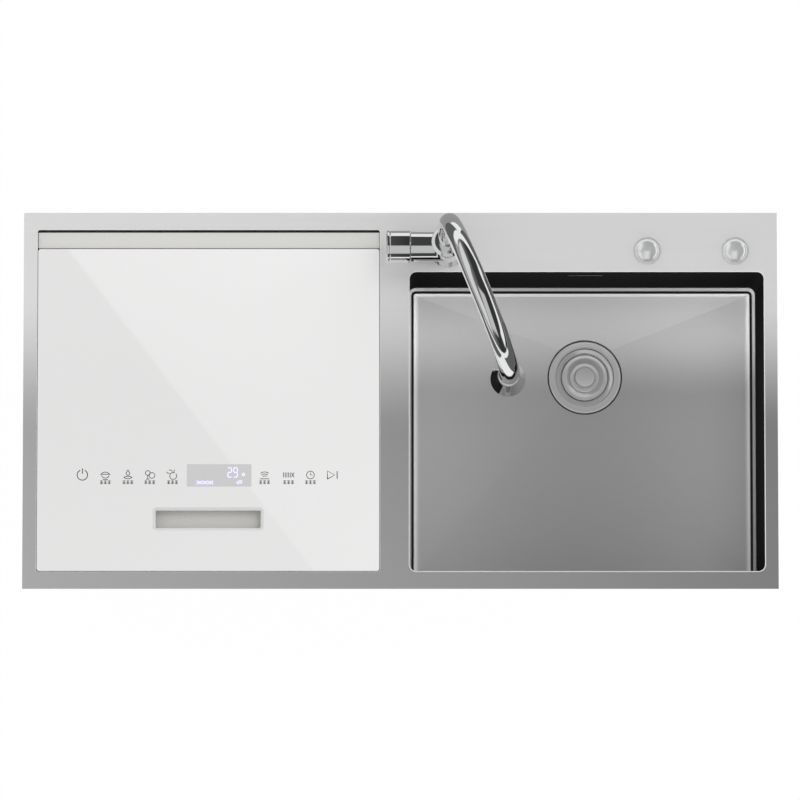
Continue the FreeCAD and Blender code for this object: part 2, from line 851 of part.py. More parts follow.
def strainer_basket():
    body = new_body("strainer_basket")
    low = "cup_wall - cup_depth"
    wall = "cup_radius - cup_wall - basket_gap"
    top = "-basket_sink"
    pad(body, "XY_Plane", low, f"{top} - ({low})", ("0", "0", wall))
    cut(body, "XY_Plane", top, f"{top} - ({low}) - basket_wall", ("0", "0", f"{wall} - basket_wall"))
    cut(body, "XY_Plane", "0", None, ("0", "0", "stem_radius + pin_gap"))
    slot = rectangle("stem_radius + basket_spoke", "cup_mouth - basket_wall", "-basket_slot / 2",
                     "basket_slot / 2")
    hole = cut(body, "XY_Plane", low, "2 * basket_wall", slot, down=False)
    repeat(body, "PolarPattern", hole, 8, axis="Z_Axis")
    return at_drain(body)


def drain_stopper():
    body = new_body("drain_stopper")
    under = "-basket_sink - basket_wall"
    low = "cup_wall - cup_depth + basket_wall"
    pad(body, "XY_Plane", low, f"{under} - ({low})", ("0", "0", "stem_radius"))
    level = under
    for height, radius in (("stopper_sheet", "stopper_radius"), ("stopper_step", "stopper_dome"),
                           ("stopper_grip", "stopper_knob")):
        pad(body, "XY_Plane", level, height, ("0", "0", radius))
        level = f"{level} + {height}"
    return at_drain(body)


# Tap


def at_tap(thing, height):
    return put(thing, "tap_x", "tap_y", height)


def faucet_base():
    """The round foot on the deck with its threaded shank below and two bores for the supply pipes."""
    body = new_body("faucet_base")
    pad(body, "XY_Plane", "0", "tap_base_height", ("0", "0", "tap_base"))
    pad(body, "XY_Plane", "0", "tap_shank_length", ("0", "0", "tap_shank"), down=True)
    bores = [(f"{side} * tap_shank / 2", "0", "supply_bore") for side in (-1, 1)]
    cut(body, "XY_Plane", "-tap_shank_length", "supply_depth", *bores, down=False)
    return at_tap(body, "deck_top")


def faucet_body():
    """The upright column with the side branch that houses the cartridge."""
    body = new_body("faucet_body")
    pad(body, "XY_Plane", "tap_base_height", "tap_body_height - tap_base_height", ("0", "0", "tap_body"))
    pad(body, "YZ_Plane", "0", "branch_length", ("0", "branch_height", "tap_body"), down=True)
    cut(body, "YZ_Plane", "-branch_length", "branch_depth", ("0", "branch_height", "branch_bore"), down=False)
    cut(body, "XY_Plane", "tap_body_height", "swivel_length", ("0", "0", "swivel_radius + pin_gap"))
    return at_tap(body, "deck_top")


def faucet_cartridge():
    body = new_body("faucet_cartridge")
    start = "-branch_length + branch_depth"
    pad(body, "YZ_Plane", start, "branch_depth - fit_gap", ("0", "branch_height", "branch_bore - fit_gap"),
        down=True)
    pad(body, "YZ_Plane", start, "branch_depth + knob_length / 2", ("0", "branch_height", "spindle_radius"),
        down=True)
    return at_tap(body, "deck_top")


def faucet_knob():
    body = new_body("faucet_knob")
    pad(body, "YZ_Plane", "0", "knob_length - knob_flange", ("0", "0", "knob_radius"), down=True)
    pad(body, "YZ_Plane", "knob_flange - knob_length", "knob_flange", ("0", "0", "knob_rim"), down=True)
    cut(body, "YZ_Plane", "0", "knob_length / 2 + fit_gap", ("0", "0", "spindle_radius + pin_gap"))
    return put(body, "tap_x - branch_length - fit_gap", "tap_y", "deck_top + branch_height")


def faucet_collar():
    """The ring under the spout, with the spigot on which it swivels in the column."""
    body = new_body("faucet_collar")
    pad(body, "XY_Plane", "fit_gap", "collar_height", ("0", "0", "collar_radius"))
    pad(body, "XY_Plane", "fit_gap", "swivel_length", ("0", "0", "swivel_radius"), down=True)
    return at_tap(body, "deck_top + tap_body_height")


def turn_spout(thing):
    thing.setExpression("Placement.Rotation.Angle", full("spout_turn - 90"))
    return thing


def faucet_spout():
    """The swan neck: up, round through a half turn and a short way down, with the bend's middle at 0, 0."""
    body = new_body("faucet_spout")
    near = ("-spout_bend", "0", "spout_radius")
    pad(body, "XY_Plane", "-spout_rise", "spout_rise", near)
    turn = body.newObject("PartDesign::Revolution", "faucet_spout_bend")
    turn.Profile = draw(body, "XY_Plane", "0", near)
    turn.ReferenceAxis = (turn.Profile[0], ["V_Axis"])
    turn.Angle = 180
    pad(body, "XY_Plane", "0", "spout_drop", ("spout_bend", "0", "spout_radius"), down=True)
    put(body, "tap_x + spout_bend * sin(spout_turn)", "tap_y - spout_bend * cos(spout_turn)",
        "deck_top + tap_body_height + fit_gap + collar_height + spout_rise")
    return turn_spout(body)


def faucet_aerator():
    """The flared spray head with the recess of its aerator."""
    body = new_body("faucet_aerator")
    pad(body, "XY_Plane", "0", "bell_neck", ("0", "0", "spout_radius + bell_lip"), down=True)
    pad(body, "XY_Plane", "-bell_neck", "bell_height - bell_neck", ("0", "0", "bell_radius"), down=True)
    cut(body, "XY_Plane", "-bell_height", "bell_recess", ("0", "0", "bell_radius - bell_wall"), down=False)
    put(body, "tap_x + 2 * spout_bend * sin(spout_turn)", "tap_y - 2 * spout_bend * cos(spout_turn)",
        "deck_top + tap_body_height + fit_gap + collar_height + spout_rise - spout_drop")
    return turn_spout(body)


def hole_cap(label, x):
    """A cap: a thin ring on the deck, the raised middle on it, and a stud through the hole."""
    body = new_body(label)
    pad(body, "XY_Plane", "0", "ring_height", ("0", "0", "ring_radius"))
    pad(body, "XY_Plane", "ring_height", "dome_height", ("0", "0", "dome_radius"))
    pad(body, "XY_Plane", "0", "stud_length", ("0", "0", "cap_stud"), down=True)
    return put(body, x, "tap_y", "deck_top")


def hole_caps():
    left = hole_cap("hole_cap_left", "cap_x - cap_pitch")
    return group("hole_caps", [left, hole_cap("hole_cap_right", "cap_x")])


def deck_nut(label, x, size, stud):
    body = new_body(label)
    pad(body, "XY_Plane", "0", "nut_thickness", hexagon("0", "0", size), ("0", "0", f"{stud} + nut_gap"),
        down=True)
    return put(body, x, "tap_y", "deck_under")


def deck_nuts():
    return group("deck_nuts", [deck_nut("tap_nut_piece", "tap_x", "tap_nut", "tap_shank"),
                               deck_nut("cap_nut_left", "cap_x - cap_pitch", "cap_nut", "cap_stud"),
                               deck_nut("cap_nut_right", "cap_x", "cap_nut", "cap_stud")])


# Lid


def grip_opening(extra):
    """The grip's outline on the lid, larger by extra on every side."""
    return ringed("bay_middle - grip_width / 2", "bay_middle + grip_width / 2", "grip_y - grip_length / 2",
                  "grip_y + grip_length / 2", f"-({extra})", f"grip_corner + {extra}")


def window_opening(extra):
    middle = "bay_middle + window_offset"
    return ringed(f"{middle} - window_width / 2", f"{middle} + window_width / 2", "row_y - window_length / 2",
                  "row_y + window_length / 2", f"-({extra})")


def lid_glass():
    body = new_body("lid_glass")
    pad(body, "XY_Plane", "glass_under", "glass_thickness",
        rectangle("lid_left", "lid_right", "lid_front", "lid_back", "bay_corner"))
    cut(body, "XY_Plane", "0", None, grip_opening("0"), down=False)
    top = level_edges("deck_top")
    margin = number("grip_length")
    front, back = number("lid_front") + margin, number("lid_back") - margin
    soften(body, "Chamfer", "grip_bevel",
           lambda edge: top(edge) and edge.BoundBox.YMin > front and edge.BoundBox.YMax < back)
    return body


def lid_frame():
    """The moulded frame under the glass: a plate with walls round it and ribs, open below."""
    body = new_body("lid_frame")
    outer = rectangle("frame_left", "frame_right", "frame_front", "frame_back")
    pad(body, "XY_Plane", "glass_under", "frame_height", outer, down=True)
    lipped = rectangle("frame_left", "frame_right", "frame_front", "frame_back + frame_lip")
    pad(body, "XY_Plane", "glass_under", "frame_wall", lipped, down=True)
    inner = ringed("frame_left", "frame_right", "frame_front", "frame_back", "frame_wall")
    cut(body, "XY_Plane", "frame_under", "frame_height - frame_wall", inner, down=False)
    rib = "rib_thickness / 2"
    ends = ("frame_front + frame_wall", "frame_back - frame_wall")
    for side in "-+":
        x = f"bay_middle {side} rib_spacing"
        along = rectangle(f"{x} - {rib}", f"{x} + {rib}", *ends)
        pad(body, "XY_Plane", "plate_under", "frame_height - frame_wall - board_room", along, down=True)
    cut(body, "XY_Plane", "plate_under", "board_room", ringed(*board_edges(), "-fit_gap"))
    cut(body, "XY_Plane", "plate_under", "2 * frame_wall", grip_opening("grip_wall + fit_gap"),
        window_opening("fit_gap"), down=False)
    return body


def board_edges():
    return ("bay_middle - board_width / 2", "bay_middle + board_width / 2", "row_y - board_length / 2",
            "row_y + board_length / 2")


def lid_liner():
    """The pressed steel pan that closes the lid below, bulged down over the tub's mouth."""
    outer = box("liner_flange", "frame_left", "frame_right", "frame_front", "frame_back", "liner_under",
                "frame_under")
    edges = ("mouth_left + liner_slope", "mouth_right - liner_slope", "mouth_front + liner_slope",
             "mouth_back - liner_slope")
    lower = tuple(f"{edge} {sign} liner_slope" for edge, sign in zip(edges, "+-+-"))
    bulge = frustum("liner_bulge_outside", edges, "liner_under", lower, "liner_bulge")
    hollow = frustum("liner_bulge_inside", edges, "frame_under", lower, "liner_bulge")
    return subtract("lid_liner", join("liner_outside", [outer, bulge]), hollow)


def grip_cup():
    """The finger recess: a tray hung in the glass opening, with a flange under the frame's plate."""
    body = new_body("grip_cup")
    pad(body, "XY_Plane", "glass_under", "grip_depth", grip_opening("grip_wall"), down=True)
    flange = ringed("bay_middle - grip_width / 2", "bay_middle + grip_width / 2", "grip_y - grip_length / 2",
                    "grip_y + grip_length / 2", "-grip_wall - grip_flange")
    pad(body, "XY_Plane", "plate_under", "grip_wall", flange, down=True)
    cut(body, "XY_Plane", "glass_under", "grip_depth - grip_wall", grip_opening("0"))
    return body


def display_window():
    body = new_body("display_window")
    pad(body, "XY_Plane", "glass_under", "frame_wall", window_opening("0"), down=True)
    return body


def touch_board():
    left, right, front, back = board_edges()
    return box("touch_board", left, right, front, back, "plate_under - board_thickness", "plate_under")


# Hinge: gooseneck arms that swing round the fixed strip, one on each side


def hinge_arm():
    """An eye on the pin, a neck down and forward, and a foot on the lid frame's back wall."""
    body = new_body("hinge_arm_left")
    half = "arm_width / 2"
    reach = "pivot_y - frame_back"
    low = f"-arm_drop - {half}"
    high = f"{half} - arm_drop"
    outline = [(half, "0"), (half, low), (f"-({reach})", low), (f"-({reach})", f"{low} + foot_height"),
               (f"foot_sheet - ({reach})", f"{low} + foot_height"), (f"foot_sheet - ({reach})", high),
               (f"-({half})", high), (f"-({half})", "0")]
    pad(body, "YZ_Plane", "0", "arm_thickness", outline, both=True)
    pad(body, "YZ_Plane", "0", "arm_thickness", ("0", "0", "eye_radius"), both=True)
    cut(body, "YZ_Plane", "0", "2 * arm_thickness", ("0", "0", "pin_radius + pin_gap"), both=True)
    return put(body, "bay_middle - hinge_spacing / 2", "pivot_y", "pivot_z")


def hinge_arms():
    left = hinge_arm()
    return group("hinge_arms", [left, mirrored("hinge_arm_right", left, "bay_middle")])


def hinge_bracket():
    """A base on the tub's ledge with a cheek on each side of the arm."""
    body = new_body("hinge_bracket_left")
    base = "ledge_level - pivot_z"
    front = "-eye_radius - 2 * fit_gap"
    back = "strip_back - strip_sheet - fit_gap - pivot_y"
    top = "pivot_drop - 2 * fit_gap"
    side = [(front, base), (back, base), (back, top), (front, top)]
    width = "arm_thickness + 2 * fit_gap + 2 * cheek_thickness"
    pad(body, "YZ_Plane", "0", width, side, both=True)
    slot = rectangle(f"{front} - fit_gap", f"{back} - cheek_thickness", f"{base} + cheek_thickness",
                     f"{top} + fit_gap")
    cut(body, "YZ_Plane", "0", "arm_thickness + 2 * fit_gap", slot, both=True)
    cut(body, "YZ_Plane", "0", f"2 * ({width})", ("0", "0", "pin_radius + pin_gap"), both=True)
    return put(body, "bay_middle - hinge_spacing / 2", "pivot_y", "pivot_z")


def hinge_brackets():
    left = hinge_bracket()
    return group("hinge_brackets", [left, mirrored("hinge_bracket_right", left, "bay_middle")])


def hinge_pins():
    """Each pin runs from the bracket's inner cheek through the arm into the damper outside."""
    start = "bay_middle - hinge_spacing / 2 + arm_thickness / 2 + fit_gap + cheek_thickness"
    length = "arm_thickness + 2 * fit_gap + 2 * cheek_thickness + damper_grip"
    left = rod("hinge_pin_left", "pin_radius", length, start, "pivot_y", "pivot_z", Y_AXIS, -90)
    return group("hinge_pins", [left, mirrored("hinge_pin_right", left, "bay_middle")])


def lid_dampers():
    """Rotary dampers on the pins, fixed to the outer cheeks."""
    body = new_body("lid_damper_left")
    pad(body, "YZ_Plane", "0", "damper_length", ("0", "0", "damper_radius"), down=True)
    cut(body, "YZ_Plane", "0", "damper_grip + fit_gap", ("0", "0", "pin_radius + pin_gap"), down=False)
    body.Tip.Reversed = False
    start = "bay_middle - hinge_spacing / 2 - arm_thickness / 2 - fit_gap - cheek_thickness"
    put(body, start, "pivot_y", "pivot_z")
    return group("lid_dampers", [body, mirrored("lid_damper_right", body, "bay_middle")])


def hinge_cover():
    """The fixed strip behind the glass: a top plate with a leg down to the ledge."""
    body = new_body("hinge_cover")
    leg = "strip_back - strip_sheet"
    outline = [("strip_front", "strip_under"), (leg, "strip_under"), (leg, "ledge_level"),
               ("strip_back", "ledge_level"), ("strip_back", "strip_top"), ("strip_front", "strip_top")]
    pad(body, "YZ_Plane", "lid_left", "lid_right - lid_left", outline)
    return body


# Tub


def tub_form(label, skin):
    """The tub's inside, or its outside where skin is the sheet: the lid's well over the wash tub."""
    body = new_body(label)
    well = ringed("bay_left", "bay_right", "bay_front", "bay_back", f"-({skin})")
    pad(body, "XY_Plane", "deck_under", f"deck_under - ledge_level + {skin}", well, down=True)
    edges = ("mouth_left", "mouth_right", "mouth_front", "mouth_back")
    mouth = ringed(*edges, f"-({skin})", f"tub_corner + {skin}")
    pad(body, "XY_Plane", "ledge_level", f"tub_depth + {skin}", mouth, down=True)
    return body


def tub():
    outside = tub_form("tub_outside", "pan_sheet")
    inside = tub_form("tub_inside", "0")
    cup = box("tub_sump_hole", *sump_edges("0"), "tub_floor - 2 * pan_sheet", "tub_floor + pan_sheet")
    hub = rod("tub_hub_hole", "riser_radius + pin_gap", "3 * pan_sheet", "bay_middle", "tub_middle",
              "tub_floor - 2 * pan_sheet")
    guide = rod("tub_float_hole", "float_stem + pin_gap", "3 * pan_sheet", "float_x", "float_y",
                "tub_floor - 2 * pan_sheet")
    return subtract("tub", outside, join("tub_cuts", [inside, cup, hub, guide]))


def sump_edges(extra):
    return (f"sump_x - sump_radius - ({extra})", f"sump_x + sump_radius + {extra}",
            f"tub_middle - sump_radius - ({extra})", f"tub_middle + sump_radius + {extra}")


def tub_seal():
    """The lid's rubber seal on the ledge: a wide foot and a narrow lip."""
    body = new_body("tub_seal")
    edges = ("mouth_left", "mouth_right", "mouth_front", "mouth_back")
    gap = "seal_inset"
    pad(body, "XY_Plane", "ledge_level", "seal_height / 2", ringed(*edges, f"-({gap})"),
        ringed(*edges, f"-({gap}) - seal_width"))
    pad(body, "XY_Plane", "ledge_level + seal_height / 2", "seal_height / 2",
        ringed(*edges, f"-({gap}) - seal_width / 3"), ringed(*edges, f"-({gap}) - 2 * seal_width / 3"))
    return body


# Washing system, most of it hung under the tub's floor


def sump():
    """A square trough under the tub's floor with a deeper cup, and a port on each side of the cup."""
    body = new_body("sump")
    top = "tub_floor - pan_sheet"
    pad(body, "XY_Plane", top, "sump_wall", rectangle(*sump_edges("sump_flange")), down=True)
    pad(body, "XY_Plane", top, "sump_depth", rectangle(*sump_edges("sump_wall")), down=True)
    cup = ("sump_x - sump_cup", "sump_x + sump_cup", "tub_middle - sump_cup", "tub_middle + sump_cup")
    pad(body, "XY_Plane", top, "cup_drop", ringed(*cup, "-sump_wall"), down=True)
    cut(body, "XY_Plane", top, "sump_depth - sump_wall", rectangle(*sump_edges("0")))
    cut(body, "XY_Plane", top, "cup_drop - sump_wall", rectangle(*cup))
    cut(body, "YZ_Plane", "sump_x", "2 * sump_cup", ("tub_middle", "pump_z", "pump_port + pin_gap"),
        down=False)
    cut(body, "YZ_Plane", "sump_x", "2 * sump_cup", ("tub_middle", "pump_z", "drain_port + pin_gap"))
    return body


def filter_plate():
    """The square coarse strainer over the sump, with the round hole for the filter cup."""
    body = new_body("filter_plate")
    plate = rectangle(*sump_edges("filter_lap"))
    pad(body, "XY_Plane", "tub_floor", "filter_mesh", plate, ("sump_x", "tub_middle", "filter_cup + pin_gap"))
    return body


def filter_cup():
    """The fine filter, a cup that hangs in the plate and turns in it, with a bar to grip."""
    body = new_body("filter_cup")
    rim = "filter_mesh + fit_gap"
    pad(body, "XY_Plane", f"{rim} - filter_depth", "filter_depth", ("0", "0", "filter_cup"))
    pad(body, "XY_Plane", rim, "filter_mesh", ("0", "0", "filter_cup + filter_rim"))
    cut(body, "XY_Plane", f"{rim} + filter_mesh", "filter_depth", ("0", "0", "filter_cup - filter_mesh"))
    half = "filter_cup - fit_gap"
    pad(body, "XY_Plane", rim, "filter_grip", rectangle(f"-({half})", half, "-filter_mesh", "filter_mesh"))
    return put(body, "sump_x", "tub_middle", "tub_floor")


def spray_hub():
    """The riser from the pump through the tub's floor, with the nut that holds it there."""
    body = new_body("spray_hub")
    low = "pump_z + volute_radius - tub_floor"
    pad(body, "XY_Plane", low, f"hub_height + arm_height + hub_cap - ({low})", ("0", "0", "riser_radius"))
    pad(body, "XY_Plane", "0", "hub_nut", hexagon("0", "0", "riser_radius + hub_nut"))
    return put(body, "bay_middle", "tub_middle", "tub_floor")


def spray_arm():
    """A two-armed rotor: each arm narrows outwards and has three slots in its top."""
    body = new_body("spray_arm")
    tip = "arm_radius - arm_tip / 2"
    outline = [("arm_root", "-arm_root"), (tip, "-arm_tip"), ("arm_radius", "-arm_tip / 2"),
               ("arm_radius", "arm_tip / 2"), (tip, "arm_tip"), ("arm_root", "arm_root"),
               ("-arm_root", "arm_root"), (f"-({tip})", "arm_tip"), ("-arm_radius", "arm_tip / 2"),
               ("-arm_radius", "-arm_tip / 2"), (f"-({tip})", "-arm_tip"), ("-arm_root", "-arm_root")]
    pad(body, "XY_Plane", "0", "arm_height", outline, ("0", "0", "riser_radius + pin_gap"))
    for side in (-1, 1):
        middle = f"{side} * arm_radius / 3"
        slot = rectangle(f"{middle} - nozzle_width", f"{middle} + nozzle_width", "-nozzle_length",
                         "nozzle_length")
        first = cut(body, "XY_Plane", "arm_height", "arm_height / 3", slot)
        row = repeat(body, "LinearPattern", first, 3, axis="X_Axis", Length="arm_radius / 2")
        row.Reversed = side < 0
    return put(body, "bay_middle", "tub_middle", "tub_floor + hub_height")


def wash_pump():
    """The circulation pump: a square volute with its inlet towards the sump, and the motor behind."""
    body = new_body("wash_pump")
    left = "-volute_length / 2"
    square = rectangle("-volute_radius", "volute_radius", "-volute_radius", "volute_radius")
    pad(body, "YZ_Plane", left, "volute_length", square)
    pad(body, "YZ_Plane", "volute_length / 2", "motor_length", polygon("0", "0", "motor_radius", 8))
    reach = "sump_offset - sump_cup - volute_length / 2"
    pad(body, "YZ_Plane", left, reach, ("0", "0", "pump_port"), down=True)
    cut(body, "YZ_Plane", f"{left} + volute_wall", "volute_length - 3 * volute_wall",
        ("0", "0", "impeller_radius + volute_wall"), down=False)
    cut(body, "YZ_Plane", f"{left} - ({reach})", f"{reach} + 2 * volute_wall",
        ("0", "0", "pump_port - sump_wall"), down=False)
    cut(body, "YZ_Plane", "0", "volute_length", ("0", "0", "shaft_radius + pin_gap"), down=False)
    return put(body, "bay_middle", "tub_middle", "pump_z")


def wash_impeller():
    body = new_body("wash_impeller")
    back = "volute_length / 2 - 2 * volute_wall - fit_gap"
    pad(body, "YZ_Plane", back, "volute_wall", ("0", "0", "impeller_radius"), down=True)
    pad(body, "YZ_Plane", f"{back} - volute_wall", f"volute_length - fit_gap - ({back} - volute_wall)",
        ("0", "0", "shaft_radius"))
    root, tip = "2 * shaft_radius", "impeller_radius - blade_width / 2"
    blade = [(root, "-blade_width / 2"), (tip, "-blade_sweep - blade_width / 2"),
             (tip, "blade_width / 2 - blade_sweep"), (root, "blade_width / 2")]
    first = pad(body, "YZ_Plane", f"{back} - volute_wall", "blade_height", blade, down=True)
    repeat(body, "PolarPattern", first, 6, axis="X_Axis")
    return put(body, "bay_middle", "tub_middle", "pump_z")


def drain_pump():
    """The drain pump on the other side of the sump's cup, with a socket at the back for the pipe."""
    body = new_body("drain_pump")
    near = "-sump_cup - sump_wall - drain_standoff"
    square = rectangle("-drain_chamber", "drain_chamber", "-drain_chamber", "drain_chamber")
    pad(body, "YZ_Plane", near, "drain_chamber_length", square, down=True)
    pad(body, "YZ_Plane", f"{near} - drain_chamber_length", "drain_motor_length",
        polygon("0", "0", "drain_motor", 8), down=True)
    pad(body, "YZ_Plane", near, "drain_standoff + sump_wall", ("0", "0", "drain_port"))
    cut(body, "XZ_Plane", "-drain_chamber", "pipe_seat",
        (f"{near} - drain_chamber_length / 2", "0", "hose_end_radius - hose_end_step + pin_gap"), down=False)
    return put(body, "sump_x", "tub_middle", "pump_z")


def drain_pipe():
    """The pipe from the drain pump through the casing's back, ending in a slightly thicker hose spigot."""
    body = new_body("drain_pipe")
    length = "casing_back + hose_end_stop - tub_middle - drain_chamber + pipe_seat"
    inside = ("0", "0", "hose_end_radius - hose_end_wall")
    pad(body, "XZ_Plane", "0", length, ("0", "0", "hose_end_radius - hose_end_step"), inside, down=True)
    pad(body, "XZ_Plane", f"-({length})", "hose_end_reach - hose_end_stop", ("0", "0", "hose_end_radius"),
        inside, down=True)
    return put(body, "drain_pipe_x", "tub_middle + drain_chamber - pipe_seat", "pump_z")


def inlet_valve():
    """The water valve inside the casing's back wall with its threaded inlet outside."""
    body = new_body("inlet_valve")
    half = "valve_radius + valve_wall"
    pad(body, "XZ_Plane", "0", "valve_depth", rectangle(f"-({half})", half, f"-({half})", half))
    neck = "casing_wall + valve_relief"
    pad(body, "XZ_Plane", "0", neck, ("0", "0", "valve_radius - valve_neck"), down=True)
    pad(body, "XZ_Plane", f"-({neck})", "valve_reach - valve_relief", ("0", "0", "valve_radius"), down=True)
    cut(body, "XZ_Plane", "-casing_wall - valve_reach", "valve_reach",
        ("0", "0", "valve_radius - valve_wall"), down=False)
    return put(body, "valve_x", "casing_back - casing_wall", "pump_z")


def power_gland():
    """The cord's gland in the casing's back wall: a hexagon outside, a barrel through the wall."""
    body = new_body("power_gland")
    flange = hexagon("0", "0", "gland_radius + gland_flange")
    pad(body, "XZ_Plane", "-casing_wall", "gland_flange", flange, down=True)
    pad(body, "XZ_Plane", "gland_barrel", "gland_barrel + casing_wall", ("0", "0", "gland_radius"), down=True)
    cut(body, "XZ_Plane", "0", None, ("0", "0", "cord_radius"), both=True)
    return put(body, "gland_x", "casing_back - casing_wall", "pump_z")


def control_box():
    right = "casing_right - casing_wall - box_inset"
    front = "casing_front + casing_wall + box_inset"
    low = "casing_foot + tray_floor"
    return box("control_box", f"{right} - box_width", right, front, f"{front} + box_length", low,
               f"{low} + box_height")


def tub_float():
    """The level float: a drum on a stem that slides through the tub's floor."""
    body = new_body("tub_float")
    pad(body, "XY_Plane", "fit_gap", "float_height", ("0", "0", "float_radius"))
    pad(body, "XY_Plane", "fit_gap", "float_stem_length", ("0", "0", "float_stem"), down=True)
    return put(body, "float_x", "float_y", "tub_floor")


# Casing: two sides, a front and a back, each bent in at the top to a flange under the tub's ledge


def casing_side(label, outside, inward):
    body = new_body(label)
    inside = f"{outside} {inward} casing_wall"
    edge = f"{outside} {inward} casing_flange"
    under = "casing_top - casing_wall"
    outline = [(outside, "casing_low"), (outside, "casing_top"), (edge, "casing_top"), (edge, under),
               (inside, under), (inside, "casing_low")]
    pad(body, "XZ_Plane", "-casing_front", "casing_back - casing_front", outline, down=True)
    return body


def casing_sides():
    left = casing_side("casing_left_side", "casing_left", "+")
    return group("casing_sides", [left, casing_side("casing_right_side", "casing_right", "-")])


def casing_end(label, sheet, flange):
    """A sheet between the sides, whose flange stops short of theirs."""
    body = new_body(label)
    width = "casing_right - casing_left"
    pad(body, "YZ_Plane", "casing_left + casing_wall", f"{width} - 2 * casing_wall",
        rectangle(*sheet, "casing_low", "casing_top - casing_wall"))
    pad(body, "YZ_Plane", "casing_left + casing_flange", f"{width} - 2 * casing_flange",
        rectangle(*flange, "casing_top - casing_wall", "casing_top"))
    return body


def casing_front_panel():
    return casing_end("casing_front_panel", ("casing_front", "casing_front + casing_wall"),
                      ("casing_front", "casing_front + casing_flange"))


def casing_back_panel():
    """The back, with holes for the drain pipe, the water inlet and the cord."""
    body = casing_end("casing_back_panel", ("casing_back - casing_wall", "casing_back"),
                      ("casing_back - casing_flange", "casing_back"))
    services = [("drain_pipe_x", "pump_z", "hose_end_radius + fit_gap"),
                ("valve_x", "pump_z", "valve_radius + fit_gap"),
                ("gland_x", "pump_z", "gland_radius + fit_gap")]
    cut(body, "XZ_Plane", "0", None, *services)
    return body


def base_tray():
    """The tray that closes the casing below and catches leaks."""
    body = new_body("base_tray")
    edges = ("casing_left", "casing_right", "casing_front", "casing_back")
    pad(body, "XY_Plane", "casing_foot", "tray_shoulder", rectangle(*edges))
    pad(body, "XY_Plane", "casing_foot", "tray_height", ringed(*edges, "casing_wall + fit_gap"))
    well = ringed(*edges, "casing_wall + fit_gap + tray_wall")
    cut(body, "XY_Plane", "casing_foot + tray_floor", "tray_height", well, down=False)
    return body


# Rack, bent and welded from wire


def rack_base():
    """Six crosswise wires with seven lengthwise ones laid on them, up to where the sides bend."""
    body = new_body("rack_base")
    half = "rack_wire / 2"
    crosswise = pad(body, "XY_Plane", "rack_floor", "rack_wire",
                    rectangle("rack_left + rack_root", "rack_right - rack_root", f"row_start - {half}",
                              f"row_start + {half}"))
    repeat(body, "LinearPattern", crosswise, 6, axis="Y_Axis", Length="5 * row_step")
    lengthwise = pad(body, "XY_Plane", "raised_floor", "rack_wire",
                     rectangle(f"column_start - {half}", f"column_start + {half}", "rack_front + rack_root",
                               "rack_back - rack_root"))
    repeat(body, "LinearPattern", lengthwise, 7, axis="X_Axis", Length="6 * column_step")
    return body


def rack_side(end, inward, wires, bar):
    """The wires of one side, each bent up from the floor with a cut corner, and their rim bar."""
    plane, axis, start, length, count, floor = wires
    body = new_body(f"{end}_side")
    bend, root, inside = (f"{end} {inward} {size}" for size in ("rack_chamfer", "rack_root", "rack_wire"))
    outline = [(end, "rack_rim"), (end, f"{floor} + rack_chamfer"), (bend, floor), (root, floor),
               (root, f"{floor} + rack_wire"), (inside, f"{floor} + rack_root"), (inside, "rack_rim")]
    wire = pad(body, plane, start, "rack_wire", outline, both=True)
    repeat(body, "LinearPattern", wire, count, axis=axis, Length=length)
    pad(body, "XY_Plane", "rack_rim - rack_wire", "rack_wire", bar)
    return body


def rack_sides():
    crosswise = ("XZ_Plane", "Y_Axis", "-row_start", "5 * row_step", 6, "rack_floor")
    lengthwise = ("YZ_Plane", "X_Axis", "column_start", "6 * column_step", 7, "raised_floor")
    depth = ("rack_front", "rack_back")
    width = ("rack_left + rack_wire", "rack_right - rack_wire")
    return group("rack_sides", [
        rack_side("rack_left", "+", crosswise, rectangle("rack_left", width[0], *depth)),
        rack_side("rack_right", "-", crosswise, rectangle(width[1], "rack_right", *depth)),
        rack_side("rack_front", "+", lengthwise, rectangle(*width, "rack_front", "rack_front + rack_wire")),
        rack_side("rack_back", "-", lengthwise, rectangle(*width, "rack_back - rack_wire", "rack_back"))])


def upright(label, x, y, low, high):
    half = "rack_wire / 2"
    return box(label, f"{x} - {half}", f"{x} + {half}", f"{y} - {half}", f"{y} + {half}", low, high)


def rack_tines():
    """Two rows of twelve tines on crosswise wires, two in each gap of the lengthwise ones."""
    tines = []
    for row in (2, 4):
        y = f"row_start + {row} * row_step"
        for place in range(12):
            x = f"column_start + {2 * place + 1} * column_step / 4"
            tines.append(upright(f"tine_{row}_{place}", x, y, "rack_floor + rack_wire",
                                 "rack_floor + tine_height"))
    return group("rack_tines", tines)


def rack_feet():
    feet = []
    for x in ("rack_left + foot_inset", "rack_right - foot_inset"):
        for y in ("row_start", "row_start + 5 * row_step"):
            feet.append(upright(f"rack_foot_{len(feet)}", x, y, "tub_floor + fit_gap", "rack_floor"))
    return group("rack_feet", feet)


def cutlery_basket():
    """A slotted box that stands on the rack's wires in its front right corner."""
    body = new_body("cutlery_basket")
    low = "rack_floor + 2 * rack_wire - wire_sink + fit_gap"
    right = "rack_right - rack_wire - rack_chamfer"
    front = "rack_front + rack_wire + rack_chamfer"
    edges = (f"{right} - cutlery_width", right, front, f"{front} + cutlery_length")
    pad(body, "XY_Plane", low, "cutlery_height", rectangle(*edges))
    inside = ringed(*edges, "cutlery_wall")
    cut(body, "XY_Plane", f"{low} + cutlery_wall", "cutlery_height", inside, down=False)
    step = "cutlery_width / 6"
    slot = rectangle(f"{edges[0]} + {step} - cutlery_wall", f"{edges[0]} + {step} + cutlery_wall",
                     f"{low} + 4 * cutlery_wall", f"{low} + cutlery_height - 6 * cutlery_wall")
    first = cut(body, "XZ_Plane", "0", None, slot, both=True)
    repeat(body, "LinearPattern", first, 5, axis="X_Axis", Length=f"4 * {step}")
    return body


